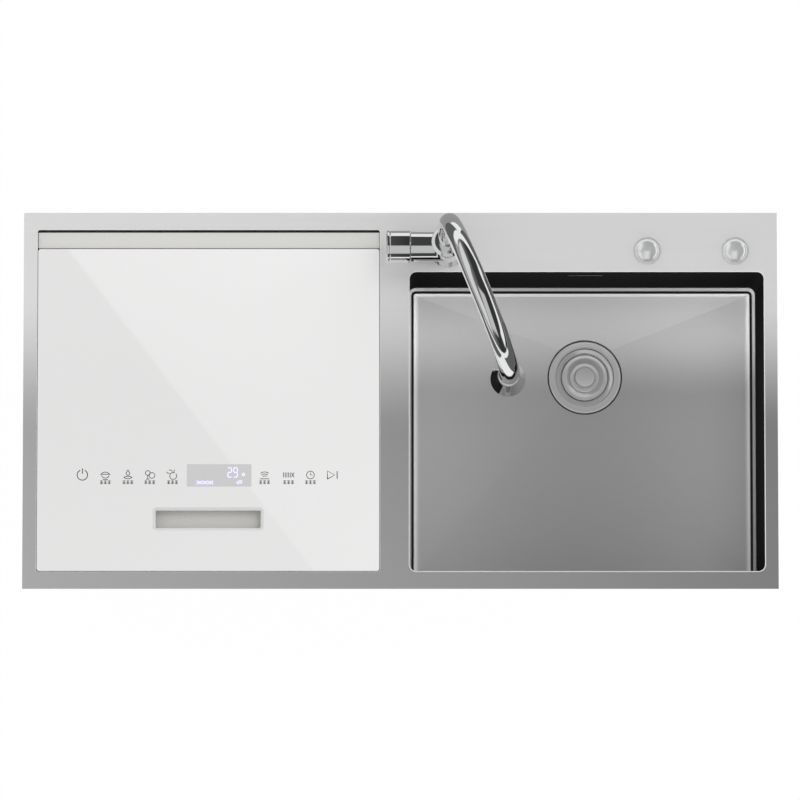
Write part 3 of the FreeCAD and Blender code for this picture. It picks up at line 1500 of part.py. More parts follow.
# All the pieces, each exported under its own name

claws, screws = rim_clips()
PIECES = [
    deck_panel(), rim_seal(), claws, screws, sink_bowl(), bowl_mats(), overflow_elbow(), overflow_pipe(),
    drain_flange(), drain_locknut(), drain_body(), drain_tail(), overflow_arm(), strainer_basket(),
    drain_stopper(), faucet_base(), faucet_body(), faucet_cartridge(), faucet_knob(), faucet_collar(),
    faucet_spout(), faucet_aerator(), hole_caps(), deck_nuts(), lid_glass(), lid_frame(), lid_liner(),
    grip_cup(), display_window(), touch_board(), hinge_arms(), hinge_brackets(), hinge_pins(),
    lid_dampers(), hinge_cover(), tub(), tub_seal(), sump(), filter_plate(), filter_cup(), spray_hub(),
    spray_arm(), wash_pump(), wash_impeller(), drain_pump(), drain_pipe(), inlet_valve(), power_gland(),
    control_box(), tub_float(), casing_sides(), casing_front_panel(), casing_back_panel(), base_tray(),
    rack_base(), rack_sides(), rack_tines(), rack_feet(), cutlery_basket(),
]
doc.recompute()

for thing in doc.Objects:
    broken = [state for state in thing.State if state in ("Invalid", "Error")]
    if broken:
        raise RuntimeError(f"{thing.Label} did not build: {broken}")

for piece in PIECES:
    if piece.Shape.isNull() or not piece.Shape.isValid() or not piece.Shape.Solids:
        raise RuntimeError(f"{piece.Label} has no valid solid")
    piece.Shape.exportStep(f"parts/{piece.Label}.step")
    print(piece.Label, len(piece.Shape.Solids), "solid", round(piece.Shape.Volume / 1000, 1), "cm3")
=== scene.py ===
# %% [markdown]
# # A sink unit with a built-in dishwasher
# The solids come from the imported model, each in its own place. This lesson dresses them: it gives every
# piece its finish, makes rounder pieces where the solids are plain, and lights the whole for one camera.

import json
import math

import bmesh
import bpy
from mathutils import Matrix, Vector


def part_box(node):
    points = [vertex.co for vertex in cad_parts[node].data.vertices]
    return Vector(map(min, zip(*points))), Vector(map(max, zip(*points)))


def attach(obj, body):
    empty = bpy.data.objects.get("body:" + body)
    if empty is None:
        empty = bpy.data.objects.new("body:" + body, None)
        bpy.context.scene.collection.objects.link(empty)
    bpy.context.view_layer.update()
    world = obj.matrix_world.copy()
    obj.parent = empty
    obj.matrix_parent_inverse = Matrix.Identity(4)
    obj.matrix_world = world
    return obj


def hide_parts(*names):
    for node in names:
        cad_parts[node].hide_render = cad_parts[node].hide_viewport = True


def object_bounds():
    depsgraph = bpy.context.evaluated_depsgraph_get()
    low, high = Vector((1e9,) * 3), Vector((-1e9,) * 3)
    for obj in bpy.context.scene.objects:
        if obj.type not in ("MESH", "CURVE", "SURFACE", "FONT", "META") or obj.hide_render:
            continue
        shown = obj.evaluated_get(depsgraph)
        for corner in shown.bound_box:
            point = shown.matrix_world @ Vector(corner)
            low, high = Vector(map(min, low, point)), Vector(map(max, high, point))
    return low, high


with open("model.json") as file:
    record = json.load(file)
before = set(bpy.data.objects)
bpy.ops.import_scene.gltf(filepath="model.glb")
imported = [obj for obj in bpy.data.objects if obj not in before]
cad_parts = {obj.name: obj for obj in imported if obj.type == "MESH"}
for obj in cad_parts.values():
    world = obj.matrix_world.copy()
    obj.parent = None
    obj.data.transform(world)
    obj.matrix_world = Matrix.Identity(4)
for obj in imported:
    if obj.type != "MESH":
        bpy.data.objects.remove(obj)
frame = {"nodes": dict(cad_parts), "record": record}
cad_low, cad_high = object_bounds()
print("solids", len(frame["nodes"]), "box", tuple(cad_low), tuple(cad_high))


# %% [markdown]
# ## Where things are
# Most places and outer sizes are read from the solids: a node's box gives its edges, and a small class keeps
# them under plain names, together with the middle. Small steps and radii are typed. The levels of light and
# dark further down are set by comparing renders with the photograph.

# %% Read a node's edges
MM = 0.001


class Edges:
    """The box of one solid, in metres."""

    def __init__(self, node):
        low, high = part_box(node)
        self.left, self.front, self.under = low
        self.right, self.back, self.top = high
        self.middle = (low + high) / 2
        self.width, self.depth, self.height = high - low


deck = Edges("deck_panel")
glass = Edges("lid_glass")
bowl = Edges("sink_bowl")
tub = Edges("tub")
print("deck", round(deck.width, 4), "by", round(deck.depth, 4))


# %% [markdown]
# ## The camera first
# The photograph looks almost straight down, from a little in front and from far away, so the deck's sides
# stay nearly parallel. A long lens does that: a short one would flare the bowl's walls. The tilt and the
# distance come from how much wider the front edge looks than the back one, and from how far the bowl's
# floor slides against its rim.

# %% Place the camera
CAMERA_DISTANCE = 7.0
CAMERA_TILT = math.radians(4.97)
CAMERA_AIM = Vector((-0.0005, 0.0007, 0.0))
LENS = 263.97

camera = bpy.data.objects.new("studio_camera", bpy.data.cameras.new("studio_camera"))
camera.data.lens = LENS
camera.data.sensor_width = 36
camera.data.clip_end = 100
camera.location = CAMERA_AIM + CAMERA_DISTANCE * Vector((0, -math.sin(CAMERA_TILT), math.cos(CAMERA_TILT)))
camera.rotation_euler = (CAMERA_TILT, 0, 0)
bpy.context.scene.collection.objects.link(camera)
bpy.context.scene.camera = camera
bpy.context.scene.view_settings.view_transform = "Standard"
print("camera at", tuple(round(value, 3) for value in camera.location))


# %% [markdown]
# ## Materials are small node trees
# A finish is one Principled shader with a texture or two in front of it. A helper starts the tree and sets
# the plain numbers on the shader's own sockets, and another adds a noise texture in the object's own
# coordinates, stretched where the finish has a direction.

# %% Start a finish
SOCKETS = {"metal": "Metallic", "rough": "Roughness", "coat": "Coat Weight", "coat_rough": "Coat Roughness",
           "aniso": "Anisotropic", "ior": "IOR", "specular": "Specular IOR Level"}


class Tree:
    """The nodes and links of one material, and the small sums that several of them need."""

    def add(self, kind, **inputs):
        node = self.nodes.new("ShaderNode" + kind)
        for name, value in inputs.items():
            socket = node.inputs[name]
            if hasattr(value, "is_output"):
                self.links.new(value, socket)
            else:
                socket.default_value = value
        return node

    def math(self, kind, *values):
        node = self.add("Math")
        node.operation = kind
        for socket, value in zip(node.inputs, values):
            if hasattr(value, "is_output"):
                self.links.new(value, socket)
            else:
                socket.default_value = value
        return node.outputs[0]

    def place(self):
        """The x and y of the spot, in the object's own metres."""
        split = self.add("SeparateXYZ", Vector=self.add("TexCoord").outputs["Object"])
        return split.outputs["X"], split.outputs["Y"]

    def line(self, along, start, rate, least=0.0):
        """A level that changes evenly along x or y, and is never under the least."""
        return self.math("MAXIMUM", self.math("MULTIPLY_ADD", along, rate, start), least)

    def step(self, value, low, high):
        """From 0 to 1 as the value goes from low to high, softly."""
        node = self.add("MapRange", Value=value)
        node.interpolation_type = "SMOOTHSTEP"
        node.inputs["From Min"].default_value = low
        node.inputs["From Max"].default_value = high
        return node.outputs["Result"]

    def blend(self, share, first, second):
        """The first level where the share is 0, the second where it is 1."""
        return self.math("ADD", first, self.math("MULTIPLY", share, self.math("SUBTRACT", second, first)))


class Finish(Tree):
    """A material with one Principled shader, and the few nodes that vary it."""

    def __init__(self, name, colour, **settings):
        self.material = bpy.data.materials.new(name)
        self.material.use_nodes = True
        self.nodes = self.material.node_tree.nodes
        self.links = self.material.node_tree.links
        self.shader = self.nodes["Principled BSDF"]
        self.shader.inputs["Base Color"].default_value = (*colour, 1)
        self.colour = colour
        self.material.diffuse_color = (*colour, 1)
        for word, value in settings.items():
            self.shader.inputs[SOCKETS[word]].default_value = value

    def noise(self, scale, stretch=(1, 1, 1), detail=3):
        place = self.add("TexCoord").outputs["Object"]
        mapped = self.add("Mapping", Vector=place, Scale=stretch).outputs["Vector"]
        return self.add("TexNoise", Vector=mapped, Scale=scale, Detail=detail).outputs["Fac"]

    def spread(self, value, low, high):
        """The noise, which keeps near a half, spread over the range from low to high."""
        node = self.add("MapRange", Value=value)
        for name, number in (("From Min", 0.3), ("From Max", 0.7), ("To Min", low), ("To Max", high)):
            node.inputs[name].default_value = number
        return node.outputs["Result"]

    def mottle(self, value, dark, light):
        """Colours the base from dark to light, as factors of its own colour."""
        ramp = self.add("ValToRGB", Fac=value)
        for stop, factor in zip(ramp.color_ramp.elements, (dark, light)):
            stop.color = (*[min(1, part * factor) for part in self.colour], 1)
        ramp.color_ramp.elements[0].position = 0.3
        ramp.color_ramp.elements[1].position = 0.7
        self.links.new(ramp.outputs["Color"], self.shader.inputs["Base Color"])
        return ramp.outputs["Color"]

    def shade(self, colour, level):
        """Multiplies a colour by a level before it reaches the shader."""
        shaded = self.add("HueSaturation", Color=colour, Value=level).outputs["Color"]
        self.links.new(shaded, self.shader.inputs["Base Color"])

    def bump(self, value, height):
        node = self.add("Bump", Height=value, Distance=height, Strength=1.0)
        self.links.new(node.outputs["Normal"], self.shader.inputs["Normal"])

    def roughness(self, value, low, high):
        self.links.new(self.spread(value, low, high), self.shader.inputs["Roughness"])


# %% [markdown]
# ## Brushed steel
# The deck is stainless steel drawn once under a belt, which leaves hairs a fraction of a millimetre apart
# along its length. A noise texture squeezed across them and stretched along them gives both the grain of
# the roughness and a bump far too low to see as lumps. The deck also darkens from back to front and from
# left to right. That gradient is painted: two lines along x, blended along y, multiply the colour, and they
# stay on the deck whatever the light.

# %% Brushed and satin steel
def front_to_back(finish, front, back, low, high):
    """Painted shade: levels at the front and at the back, each a start and a rate along x, blended along y."""
    x, y = finish.place()
    return finish.blend(finish.step(y, low, high), finish.line(x, *front), finish.line(x, *back))


def brushed(name, colour, rough, grain, hair=0.0000015, metal=1.0, levels=None):
    finish = Finish(name, colour, metal=metal, rough=rough, aniso=0.35)
    hairs = finish.noise(900, grain, 2)
    shown = finish.mottle(hairs, 0.99, 1.008)
    if levels:
        finish.shade(shown, front_to_back(finish, *levels))
    finish.roughness(hairs, rough - 0.01, rough + 0.015)
    finish.bump(hairs, hair)
    return finish.material


along_x = (0.02, 1, 1)
# Painted shade on the deck: front and back levels as a start and a rate along x, then the blend's ends along y
DECK_PAINTED_SHADE = ((0.35, -0.25), (0.85, -0.12), -0.04, 0.13)
deck_steel = brushed("deck_steel", (0.95, 0.95, 0.95), 0.22, along_x, metal=0.4, levels=DECK_PAINTED_SHADE)
drain_steel = brushed("drain_steel", (0.7, 0.7, 0.7), 0.16, along_x, metal=0.45)
bright_edge = brushed("bright_edge", (0.95, 0.95, 0.95), 0.1, along_x, 0.0000005, metal=0.4)
satin_steel = brushed("satin_steel", (0.55, 0.55, 0.55), 0.3, (1, 1, 0.03))
print("steels", deck_steel.name, drain_steel.name, satin_steel.name)


# %% [markdown]
# ## The bowl's steel
# The bowl's walls look almost black, most likely because they see only each other. The floor keeps the deck's
# satin, and bright lines run round the foot of the walls. Reflections could be left to do all this. Here it is
# painted by place, near where the photograph has it, and it stays there from every side. One material does it:
# the height of the spot chooses between a dark matte shader and the pale steel, and the steel's level changes
# over the floor. The outside, which faces away from the bowl's middle, keeps one level.

# %% Bowl steel
# Heights in millimetres, each with the pale steel's share: 0 is painted shade, the 0.6 band a painted
# highlight
BOWL_SHADES = ((-196.1, 1.0), (-195.75, 1.0), (-195.5, 0.0), (-194.2, 0.0), (-193.6, 0.6), (-187.5, 0.6),
               (-186.5, 0.0))
# Painted shade on the bowl's floor, set out like the deck's
BOWL_PAINTED_SHADE = ((0.48, -0.12), (1.04, 0.3), 0.02, 0.13)
# A painted highlight: the steel is lighter by the gain in a thin line at the foot of the walls
FOOT_LOW, FOOT_HIGH, FOOT_HIGHLIGHT_GAIN = -196.15 * MM, -195.95 * MM, 0.7
# Painted light on the floor: a level in the middle, lighter by the gain towards the left and right walls
MIDDLE_LEVEL, SIDE_GAIN = 0.82, 0.6
OUTSIDE_LEVEL = 0.42
# The walls' painted shade, a dark matte colour
WALL_PAINTED_SHADE = (0.025, 0.025, 0.025, 1)


def bowl_share(finish, height):
    """How much of the pale steel shows at the height; the rest is the walls' painted shade."""
    low, high = BOWL_SHADES[0][0], BOWL_SHADES[-1][0]
    share = finish.add("MapRange", Value=height)
    share.inputs["From Min"].default_value = low * MM
    share.inputs["From Max"].default_value = high * MM
    ramp = finish.add("ValToRGB", Fac=share.outputs["Result"])
    stops = ramp.color_ramp.elements
    while len(stops) < len(BOWL_SHADES):
        stops.new(0.5)
    for stop, (level, shade) in zip(stops, BOWL_SHADES):
        stop.position = (level - low) / (high - low)
        stop.color = (shade, shade, shade, 1)
    return ramp.outputs["Color"]


def bowl_outside(finish, spot):
    """1 where the surface faces away from the bowl's middle."""
    facing = finish.add("SeparateXYZ", Vector=finish.add("NewGeometry").outputs["Normal"])
    parts = []
    for axis, middle in (("X", bowl.middle.x), ("Y", bowl.middle.y)):
        away = finish.math("SUBTRACT", spot.outputs[axis], middle)
        parts.append(finish.math("MULTIPLY", away, facing.outputs[axis]))
    return finish.step(finish.math("ADD", *parts), 0.01, 0.04)


def bowl_finish():
    finish = Finish("bowl_steel", (0.95, 0.95, 0.95), metal=0.15, rough=0.24, aniso=0.3)
    spot = finish.add("SeparateXYZ", Vector=finish.add("TexCoord").outputs["Object"])
    height = spot.outputs["Z"]
    outside = bowl_outside(finish, spot)
    half = bowl.width / 2
    aside = finish.math("MULTIPLY_ADD", spot.outputs["X"], 1 / half, -bowl.middle.x / half)
    # Painted light: the floor lighter towards the side walls, and a painted highlight in a thin line at the
    # foot
    sides = finish.math("MULTIPLY_ADD", finish.math("MULTIPLY", aside, aside), SIDE_GAIN, MIDDLE_LEVEL)
    bend = finish.math("MULTIPLY_ADD", finish.step(height, FOOT_LOW, FOOT_HIGH), FOOT_HIGHLIGHT_GAIN, 1.0)
    sides = finish.math("MULTIPLY", sides, bend)
    inside = finish.math("MULTIPLY", sides, front_to_back(finish, *BOWL_PAINTED_SHADE))
    hairs = finish.noise(900, along_x, 2)
    finish.shade(finish.mottle(hairs, 0.99, 1.008), finish.blend(outside, inside, OUTSIDE_LEVEL))
    finish.roughness(hairs, 0.23, 0.26)
    dark = finish.add("BsdfDiffuse", Color=WALL_PAINTED_SHADE)
    mix = finish.add("MixShader", Fac=finish.math("MAXIMUM", bowl_share(finish, height), outside))
    finish.links.new(dark.outputs[0], mix.inputs[1])
    finish.links.new(finish.shader.outputs[0], mix.inputs[2])
    finish.links.new(mix.outputs[0], finish.nodes["Material Output"].inputs["Surface"])
    finish.bump(hairs, 0.000003)
    return finish.material


bowl_steel = bowl_finish()
print("bowl steel", bowl_steel.name)


# %% [markdown]
# ## Chrome
# The tap is plated: a mirror with the faintest haze. A very low roughness with a little smudging keeps it
# from looking like computer chrome. The two caps have a satin plate, which is rougher and paler.

# %% Chrome plate
def chrome_finish(name, metal, low, high):
    finish = Finish(name, (0.78, 0.785, 0.79), metal=metal, rough=low)
    finish.roughness(finish.noise(60), low, high)
    return finish.material


chrome = chrome_finish("chrome_plate", 1.0, 0.035, 0.075)
satin_chrome = chrome_finish("satin_chrome", 0.62, 0.18, 0.24)
print("chrome", chrome.name, satin_chrome.name)


# %% [markdown]
# ## White glass
# The lid is glass painted white on its underside: a clean gloss over an even colour. A coat over a matte
# base gives the depth that a single glossy layer lacks. The photograph shows one soft slanting edge on it, a
# little lighter on its right, which is most likely a reflection. Here it is a step in the paint, and stays in
# place from every side.

# %% Glass, plastics and rubber
# The slanting edge of the painted reflection: the x and y parts of its direction across, its distance, and
# half its width
SHEEN_X, SHEEN_Y, SHEEN_OFFSET, SHEEN_SOFT = 0.795, 0.606, 0.206, 3 * MM


def white_glass_finish():
    finish = Finish("white_glass", (0.66, 0.658, 0.656), rough=0.35, coat=1.0, coat_rough=0.015, ior=1.5)
    x, y = finish.place()
    across = finish.math("MULTIPLY_ADD", x, SHEEN_X, finish.math("MULTIPLY_ADD", y, SHEEN_Y, SHEEN_OFFSET))
    # Past the edge the painted reflection grows lighter towards the right and the back
    right = finish.math("MULTIPLY_ADD", y, 0.2, finish.line(x, 1.10, 0.15))
    light = finish.blend(finish.step(across, -SHEEN_SOFT, SHEEN_SOFT), finish.line(x, 1.0, 0.0), right)
    finish.shade(finish.mottle(finish.noise(2.5, detail=1), 0.995, 1.005), light)
    return finish.material


def plastic(name, colour, rough, grain=1400, height=0.00001):
    finish = Finish(name, colour, rough=rough)
    speckle = finish.noise(grain)
    finish.mottle(speckle, 0.95, 1.05)
    finish.bump(speckle, height)
    return finish.material


white_glass = white_glass_finish()
warm_grey = plastic("warm_grey_plastic", (0.56, 0.555, 0.54), 0.5)
display_grey = plastic("display_grey", (0.50, 0.50, 0.505), 0.25, height=0.000001)
white_plastic = plastic("white_plastic", (0.72, 0.72, 0.71), 0.4)
grey_plastic = plastic("grey_plastic", (0.33, 0.34, 0.36), 0.42)
dark_plastic = plastic("dark_plastic", (0.03, 0.03, 0.033), 0.45)
black_rubber = plastic("black_rubber", (0.018, 0.018, 0.018), 0.75, 700, 0.00003)
grey_foam = plastic("grey_foam", (0.1, 0.1, 0.105), 0.9, 900, 0.0001)
green_board = plastic("green_board", (0.02, 0.11, 0.045), 0.35)
coated_wire = plastic("coated_wire", (0.30, 0.31, 0.33), 0.35)
print("plastics", warm_grey.name, display_grey.name, white_plastic.name)


# %% [markdown]
# ## Zinc, galvanised sheet and brass
# The hidden hardware has rougher metals. Galvanised sheet shows its crystals, called spangle: a Voronoi
# texture gives each crystal its own shade.

# %% Hardware metals
def hardware(name, colour, rough):
    finish = Finish(name, colour, metal=1.0, rough=rough)
    cloud = finish.noise(220)
    finish.mottle(cloud, 0.9, 1.08)
    finish.roughness(cloud, rough - 0.06, rough + 0.08)
    return finish.material


def galvanised_finish():
    finish = Finish("galvanised_steel", (0.42, 0.43, 0.44), metal=1.0, rough=0.45)
    place = finish.add("TexCoord").outputs["Object"]
    crystals = finish.add("TexVoronoi", Vector=place, Scale=110.0).outputs["Color"]
    shade = finish.add("SeparateColor", Color=crystals).outputs["Red"]
    finish.mottle(shade, 0.86, 1.1)
    finish.roughness(shade, 0.38, 0.52)
    return finish.material


zinc = hardware("zinc_steel", (0.46, 0.47, 0.49), 0.38)
brass = hardware("brass_nut", (0.62, 0.47, 0.22), 0.3)
galvanised = galvanised_finish()
print("hardware", zinc.name, brass.name, galvanised.name)


# %% [markdown]
# ## Every solid gets its finish
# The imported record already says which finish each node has, so one table from the record's slots to the
# materials above is enough. The two steels of the deck and the bowl share a slot and are told apart by name.

# %% Hand out the finishes
BY_SLOT = {
    "brushed_stainless": deck_steel, "polished_stainless": drain_steel, "satin_stainless": satin_steel,
    "chrome_plate": chrome, "white_glass": white_glass, "warm_grey_plastic": warm_grey,
    "display_grey": display_grey, "green_board": green_board, "grey_foam": grey_foam,
    "black_rubber": black_rubber, "white_plastic": white_plastic, "grey_plastic": grey_plastic,
    "dark_plastic": dark_plastic, "zinc_steel": zinc, "galvanised_steel": galvanised, "brass_nut": brass,
    "coated_wire": coated_wire,
}


def paint(piece, material):
    piece.data.materials.clear()
    piece.data.materials.append(material)


for row in frame["record"]["subparts"]:
    paint(frame["nodes"][row["node"]], BY_SLOT[row["material_slot"]])
paint(frame["nodes"]["sink_bowl"], bowl_steel)


# %% [markdown]
# ## Making a mesh
# New pieces start as a list of points and faces. This helper turns them into an object in place, smooths it
# where asked, paints it, and lets it ride on the body that carries it.

# %% Build a piece
def add_piece(name, points, faces, material, body, smooth=True, closed=True):
    mesh = bpy.data.meshes.new(name)
    mesh.from_pydata([tuple(point) for point in points], [], faces)
    if closed:
        work = bmesh.new()
        work.from_mesh(mesh)
        bmesh.ops.recalc_face_normals(work, faces=work.faces)
        work.to_mesh(mesh)
        work.free()
    mesh.polygons.foreach_set("use_smooth", [smooth] * len(mesh.polygons))
    piece = bpy.data.objects.new(name, mesh)
    bpy.context.scene.collection.objects.link(piece)
    paint(piece, material)
    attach(piece, body)
    return piece


def keep_creases(piece, degrees=35):
    piece.data.set_sharp_from_angle(angle=math.radians(degrees))
    return piece


# %% [markdown]
# ## Turned pieces
# A drain flange, a knob or a cap is turned on a lathe, so in Blender it is a profile swept round an axis.
# The profile is a list of radius and height, and a corner can carry a rounding: a short arc of a few points
# there makes the thin highlight that a real edge has.

# %% Turn a profile
TURN_STEPS = 96


def rounded(profile):
    """The profile with an arc at each point that has a third value, its radius."""
    points = []
    for i, point in enumerate(profile):
        here = Vector(point[:2])
        if len(point) < 3:
            points.append(here)
            continue
        back = (Vector(profile[i - 1][:2]) - here).normalized()
        ahead = (Vector(profile[(i + 1) % len(profile)][:2]) - here).normalized()
        half = back.angle(ahead) / 2
        centre = here + (back + ahead).normalized() * (point[2] / math.sin(half))
        reach = point[2] / math.tan(half)
        start, end = here + back * reach - centre, here + ahead * reach - centre
        turn = start.angle_signed(end)
        for step in range(7):
            points.append(centre + Matrix.Rotation(-turn * step / 6, 2) @ start)
    return points


def turned(name, profile, centre, material, body, axis="Z", steps=TURN_STEPS):
    """A closed profile of (radius, height), turned about the axis through centre."""
    outline = rounded(profile)
    lie = {"Z": Matrix.Identity(3), "X": Matrix.Rotation(math.pi / 2, 3, "Y")}[axis]
    points, faces, count = [], [], len(outline)
    for step in range(steps):
        angle = 2 * math.pi * step / steps
        for radius, height in outline:
            spot = Vector((radius * math.cos(angle), radius * math.sin(angle), height))
            points.append(Vector(centre) + lie @ spot)
    for step in range(steps):
        here, after = step * count, (step + 1) % steps * count
        for i in range(count):
            j = (i + 1) % count
            faces.append((here + i, here + j, after + j, after + i))
    piece = add_piece(name, points, faces, material, body)
    work = bmesh.new()
    work.from_mesh(piece.data)
    bmesh.ops.remove_doubles(work, verts=work.verts, dist=1e-6)
    bmesh.ops.dissolve_degenerate(work, edges=work.edges, dist=1e-7)
    work.to_mesh(piece.data)
    work.free()
    return keep_creases(piece)


# %% [markdown]
# ## The drain
# The drain has a pressed flange with a rounded lip, a basket inside it and a stopper with a raised ring
# and a knob to pull. Seen from above it is all circles, so what matters is the order of bright and dark
# rings, and that comes from the slopes between them. The flange's ring reaches half a millimetre over its
# solid, which stays in place under it.

# %% Drain flange, basket rim and stopper
flange = Edges("drain_flange")
stopper = Edges("drain_stopper")
drain_x, drain_y = flange.middle.x, flange.middle.y
seat = bowl.under + 1 * MM
lip = flange.width / 2
cup = 36.8 * MM
flange_top = flange.top + 0.5 * MM
turned("flange_ring", [
    (cup - 1 * MM, flange.under), (cup, flange.under), (cup, seat), (lip, seat), (lip, flange_top - 0.7 * MM),
    (lip - 0.9 * MM, flange_top, 0.5 * MM), (lip - 2.4 * MM, flange_top - 0.4 * MM, 1.2 * MM),
    (cup + 1 * MM, flange_top - 0.5 * MM, 1.5 * MM), (cup - 1 * MM, flange_top - 2 * MM, 0.6 * MM)],
    (drain_x, drain_y, 0), drain_steel, "base")
turned("flange_bead", [(lip - 1.7 * MM, flange_top - 0.6 * MM), (lip - 0.7 * MM, flange_top - 0.6 * MM),
                       (lip - 0.8 * MM, flange_top, 0.3 * MM), (lip - 1.6 * MM, flange_top, 0.3 * MM)],
       (drain_x, drain_y, 0), bright_edge, "base")
# A thin black ring round the lip is painted shade, the dark edge where the flange meets the bowl
turned("flange_shade_ring", [(lip - 1 * MM, seat), (lip + 1.4 * MM, seat),
                         (lip + 1.4 * MM, seat + 0.8 * MM, 0.3 * MM), (lip - 1 * MM, seat + 0.8 * MM)],
       (drain_x, drain_y, 0), black_rubber, "base")
print("flange", round(lip * 2000, 1), "mm across")

basket = Edges("strainer_basket")
rim = basket.width / 2
turned("basket_rim", [
    (rim, basket.top - 1.4 * MM), (rim, basket.top - 0.1 * MM), (rim - 1 * MM, basket.top, 0.4 * MM),
    (29.2 * MM, basket.top - 1.8 * MM, 3 * MM), (29.2 * MM, basket.top - 2.4 * MM),
    (rim - 2 * MM, basket.top - 1.4 * MM)],
    (drain_x, drain_y, 0), drain_steel, "basket")

plate = stopper.width / 2
stem = 3 * MM
low = stopper.under
mid = stopper.top - 9.2 * MM
piece = turned("stopper_plate", [
    (0, low), (stem, low), (stem, mid), (plate - 1 * MM, mid), (plate, mid + 0.6 * MM, 0.4 * MM),
    (plate - 0.8 * MM, mid + 1.5 * MM, 0.4 * MM), (23.5 * MM, mid + 0.8 * MM, 5 * MM),
    (19.8 * MM, mid + 2.6 * MM, 2 * MM), (17.5 * MM, mid + 4.2 * MM, 2 * MM),
    (13.6 * MM, mid + 3.9 * MM, 1 * MM), (12.7 * MM, mid + 3.2 * MM, 0.3 * MM),
    (12.3 * MM, stopper.top - 0.8 * MM, 0.3 * MM), (11.4 * MM, stopper.top, 0.6 * MM), (0, stopper.top)],
    (drain_x, drain_y, 0), drain_steel, "stopper")
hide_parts("drain_stopper")
print("stopper", round(plate * 2000, 1), "mm across")


# %% [markdown]
# ## The two hole caps
# Each cap is a shallow dome on a thin ring. The solid is a plain stepped disc, so a turned dome of the
# same height and radius replaces it: the highlight of a dome is small and round, that of a flat disc isn't.

# %% Hole caps
caps = Edges("hole_caps")
ring = 16.5 * MM
cap_places = (caps.left + ring, caps.right - ring)
ring_top = deck.top + 1.6 * MM
for side, x in zip(("left", "right"), cap_places):
    dome = [(14.6 * MM * math.cos(a), ring_top + (caps.top - ring_top) * math.sin(a))
            for a in [math.radians(6 * i) for i in range(1, 16)]]
    profile = [(0, caps.under), (6 * MM, caps.under), (6 * MM, deck.top), (ring, deck.top),
               (ring, ring_top, 0.8 * MM), (14.9 * MM, ring_top)] + dome
    piece = turned("cap_" + side, profile, (x, caps.middle.y, 0), satin_chrome, "base")
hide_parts("hole_caps")
print("caps at", [round(x, 4) for x in cap_places])


# %% [markdown]
# ## The tap
# The tube, the column and the side branch stay as their solids. The foot, the knob, the collar over the
# column and the spray head are turned again in the same places, with rounded edges, and the knob gains a rim
# and a shallow groove at its outer end. The spray head flares from the tube to its mouth like a bell, which
# in the profile is one slanting line with soft ends.

# %% Tap foot, knob, collar and spray head
foot = Edges("faucet_base")
column = Edges("faucet_body")
knob = Edges("faucet_knob")
collar = Edges("faucet_collar")
spray = Edges("faucet_aerator")
tap_x, tap_y = foot.middle.x, foot.middle.y
TUBE_RADIUS = 11.7 * MM

radius = foot.width / 2
turned("tap_foot_ring", [
    (0, deck.top), (radius, deck.top), (radius, deck.top + 2 * MM, 0.5 * MM),
    (radius - 2 * MM, foot.top, 1.5 * MM), (0, foot.top)],
    (tap_x, tap_y, 0), chrome, "base")

radius = knob.depth / 2
length = knob.width
piece = turned("tap_knob", [
    (0, -length / 2), (radius - 1.2 * MM, -length / 2, 0.6 * MM), (radius, -length / 2 + 1.2 * MM, 0.5 * MM),
    (radius, -length / 2 + 3.2 * MM, 0.3 * MM), (radius - 1.4 * MM, -length / 2 + 3.8 * MM, 0.3 * MM),
    (radius - 0.8 * MM, -length / 2 + 5 * MM, 0.3 * MM), (radius - 0.8 * MM, length / 2 - 1 * MM, 0.5 * MM),
    (radius - 2 * MM, length / 2, 0.4 * MM), (0, length / 2)],
    knob.middle, chrome, "knob", axis="X")
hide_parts("faucet_knob")

radius = collar.width / 2
base = column.top + 0.3 * MM
piece = turned("swivel_ring", [
    (0, collar.under), (8 * MM, collar.under), (8 * MM, base), (radius, base, 0.4 * MM),
    (radius, collar.top - 2 * MM, 1 * MM), (radius - 4 * MM, collar.top, 2 * MM), (0, collar.top)],
    (tap_x, tap_y, 0), chrome, "spout")
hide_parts("faucet_collar")

radius = spray.width / 2
neck = TUBE_RADIUS + 1.0 * MM
mouth = spray.under
piece = turned("spray_head", [
    (0, mouth + 5 * MM), (radius - 3 * MM, mouth + 5 * MM), (radius - 2.5 * MM, mouth, 0.5 * MM),
    (radius, mouth, 1 * MM), (radius, mouth + 5 * MM, 3 * MM), (neck, spray.top - 9 * MM, 12 * MM),
    (neck, spray.top, 0.5 * MM), (0, spray.top)],
    (spray.middle.x, spray.middle.y, 0), chrome, "spout")
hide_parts("faucet_aerator")
print("spray head", round(radius * 2000, 1), "mm across")


# %% [markdown]
# ## Strokes on the glass
# The touch row is printed: thin dark signs with no thickness to speak of. A stroke is a narrow ribbon along
# a few points, laid a few hundredths of a millimetre over the glass. Arcs are strokes whose points come
# from a sine and a cosine.

# %% Draw with ribbons
INK_LIFT = 0.04 * MM
INK_HEIGHT = glass.top + INK_LIFT


def ribbon(points, width, closed=False):
    """The corners and faces of a flat stroke along the points, in millimetres about the origin."""
    spots = [Vector(point) for point in points]
    count = len(spots)
    corners, faces = [], []
    for i, spot in enumerate(spots):
        before = spots[i - 1] if closed or i else spot
        after = spots[(i + 1) % count] if closed or i < count - 1 else spot
        along = (after - before).normalized()
        across = Vector((-along.y, along.x)) * width / 2
        corners += [spot + across, spot - across]
    for i in range(count if closed else count - 1):
        j = (i + 1) % count
        faces.append((2 * i, 2 * i + 1, 2 * j + 1, 2 * j))
    return corners, faces


def arc(x, y, radius, start, end, squash=1.0, steps=20):
    turns = [math.radians(start + (end - start) * i / steps) for i in range(steps + 1)]
    return [(x + radius * math.cos(turn), y + radius * squash * math.sin(turn)) for turn in turns]


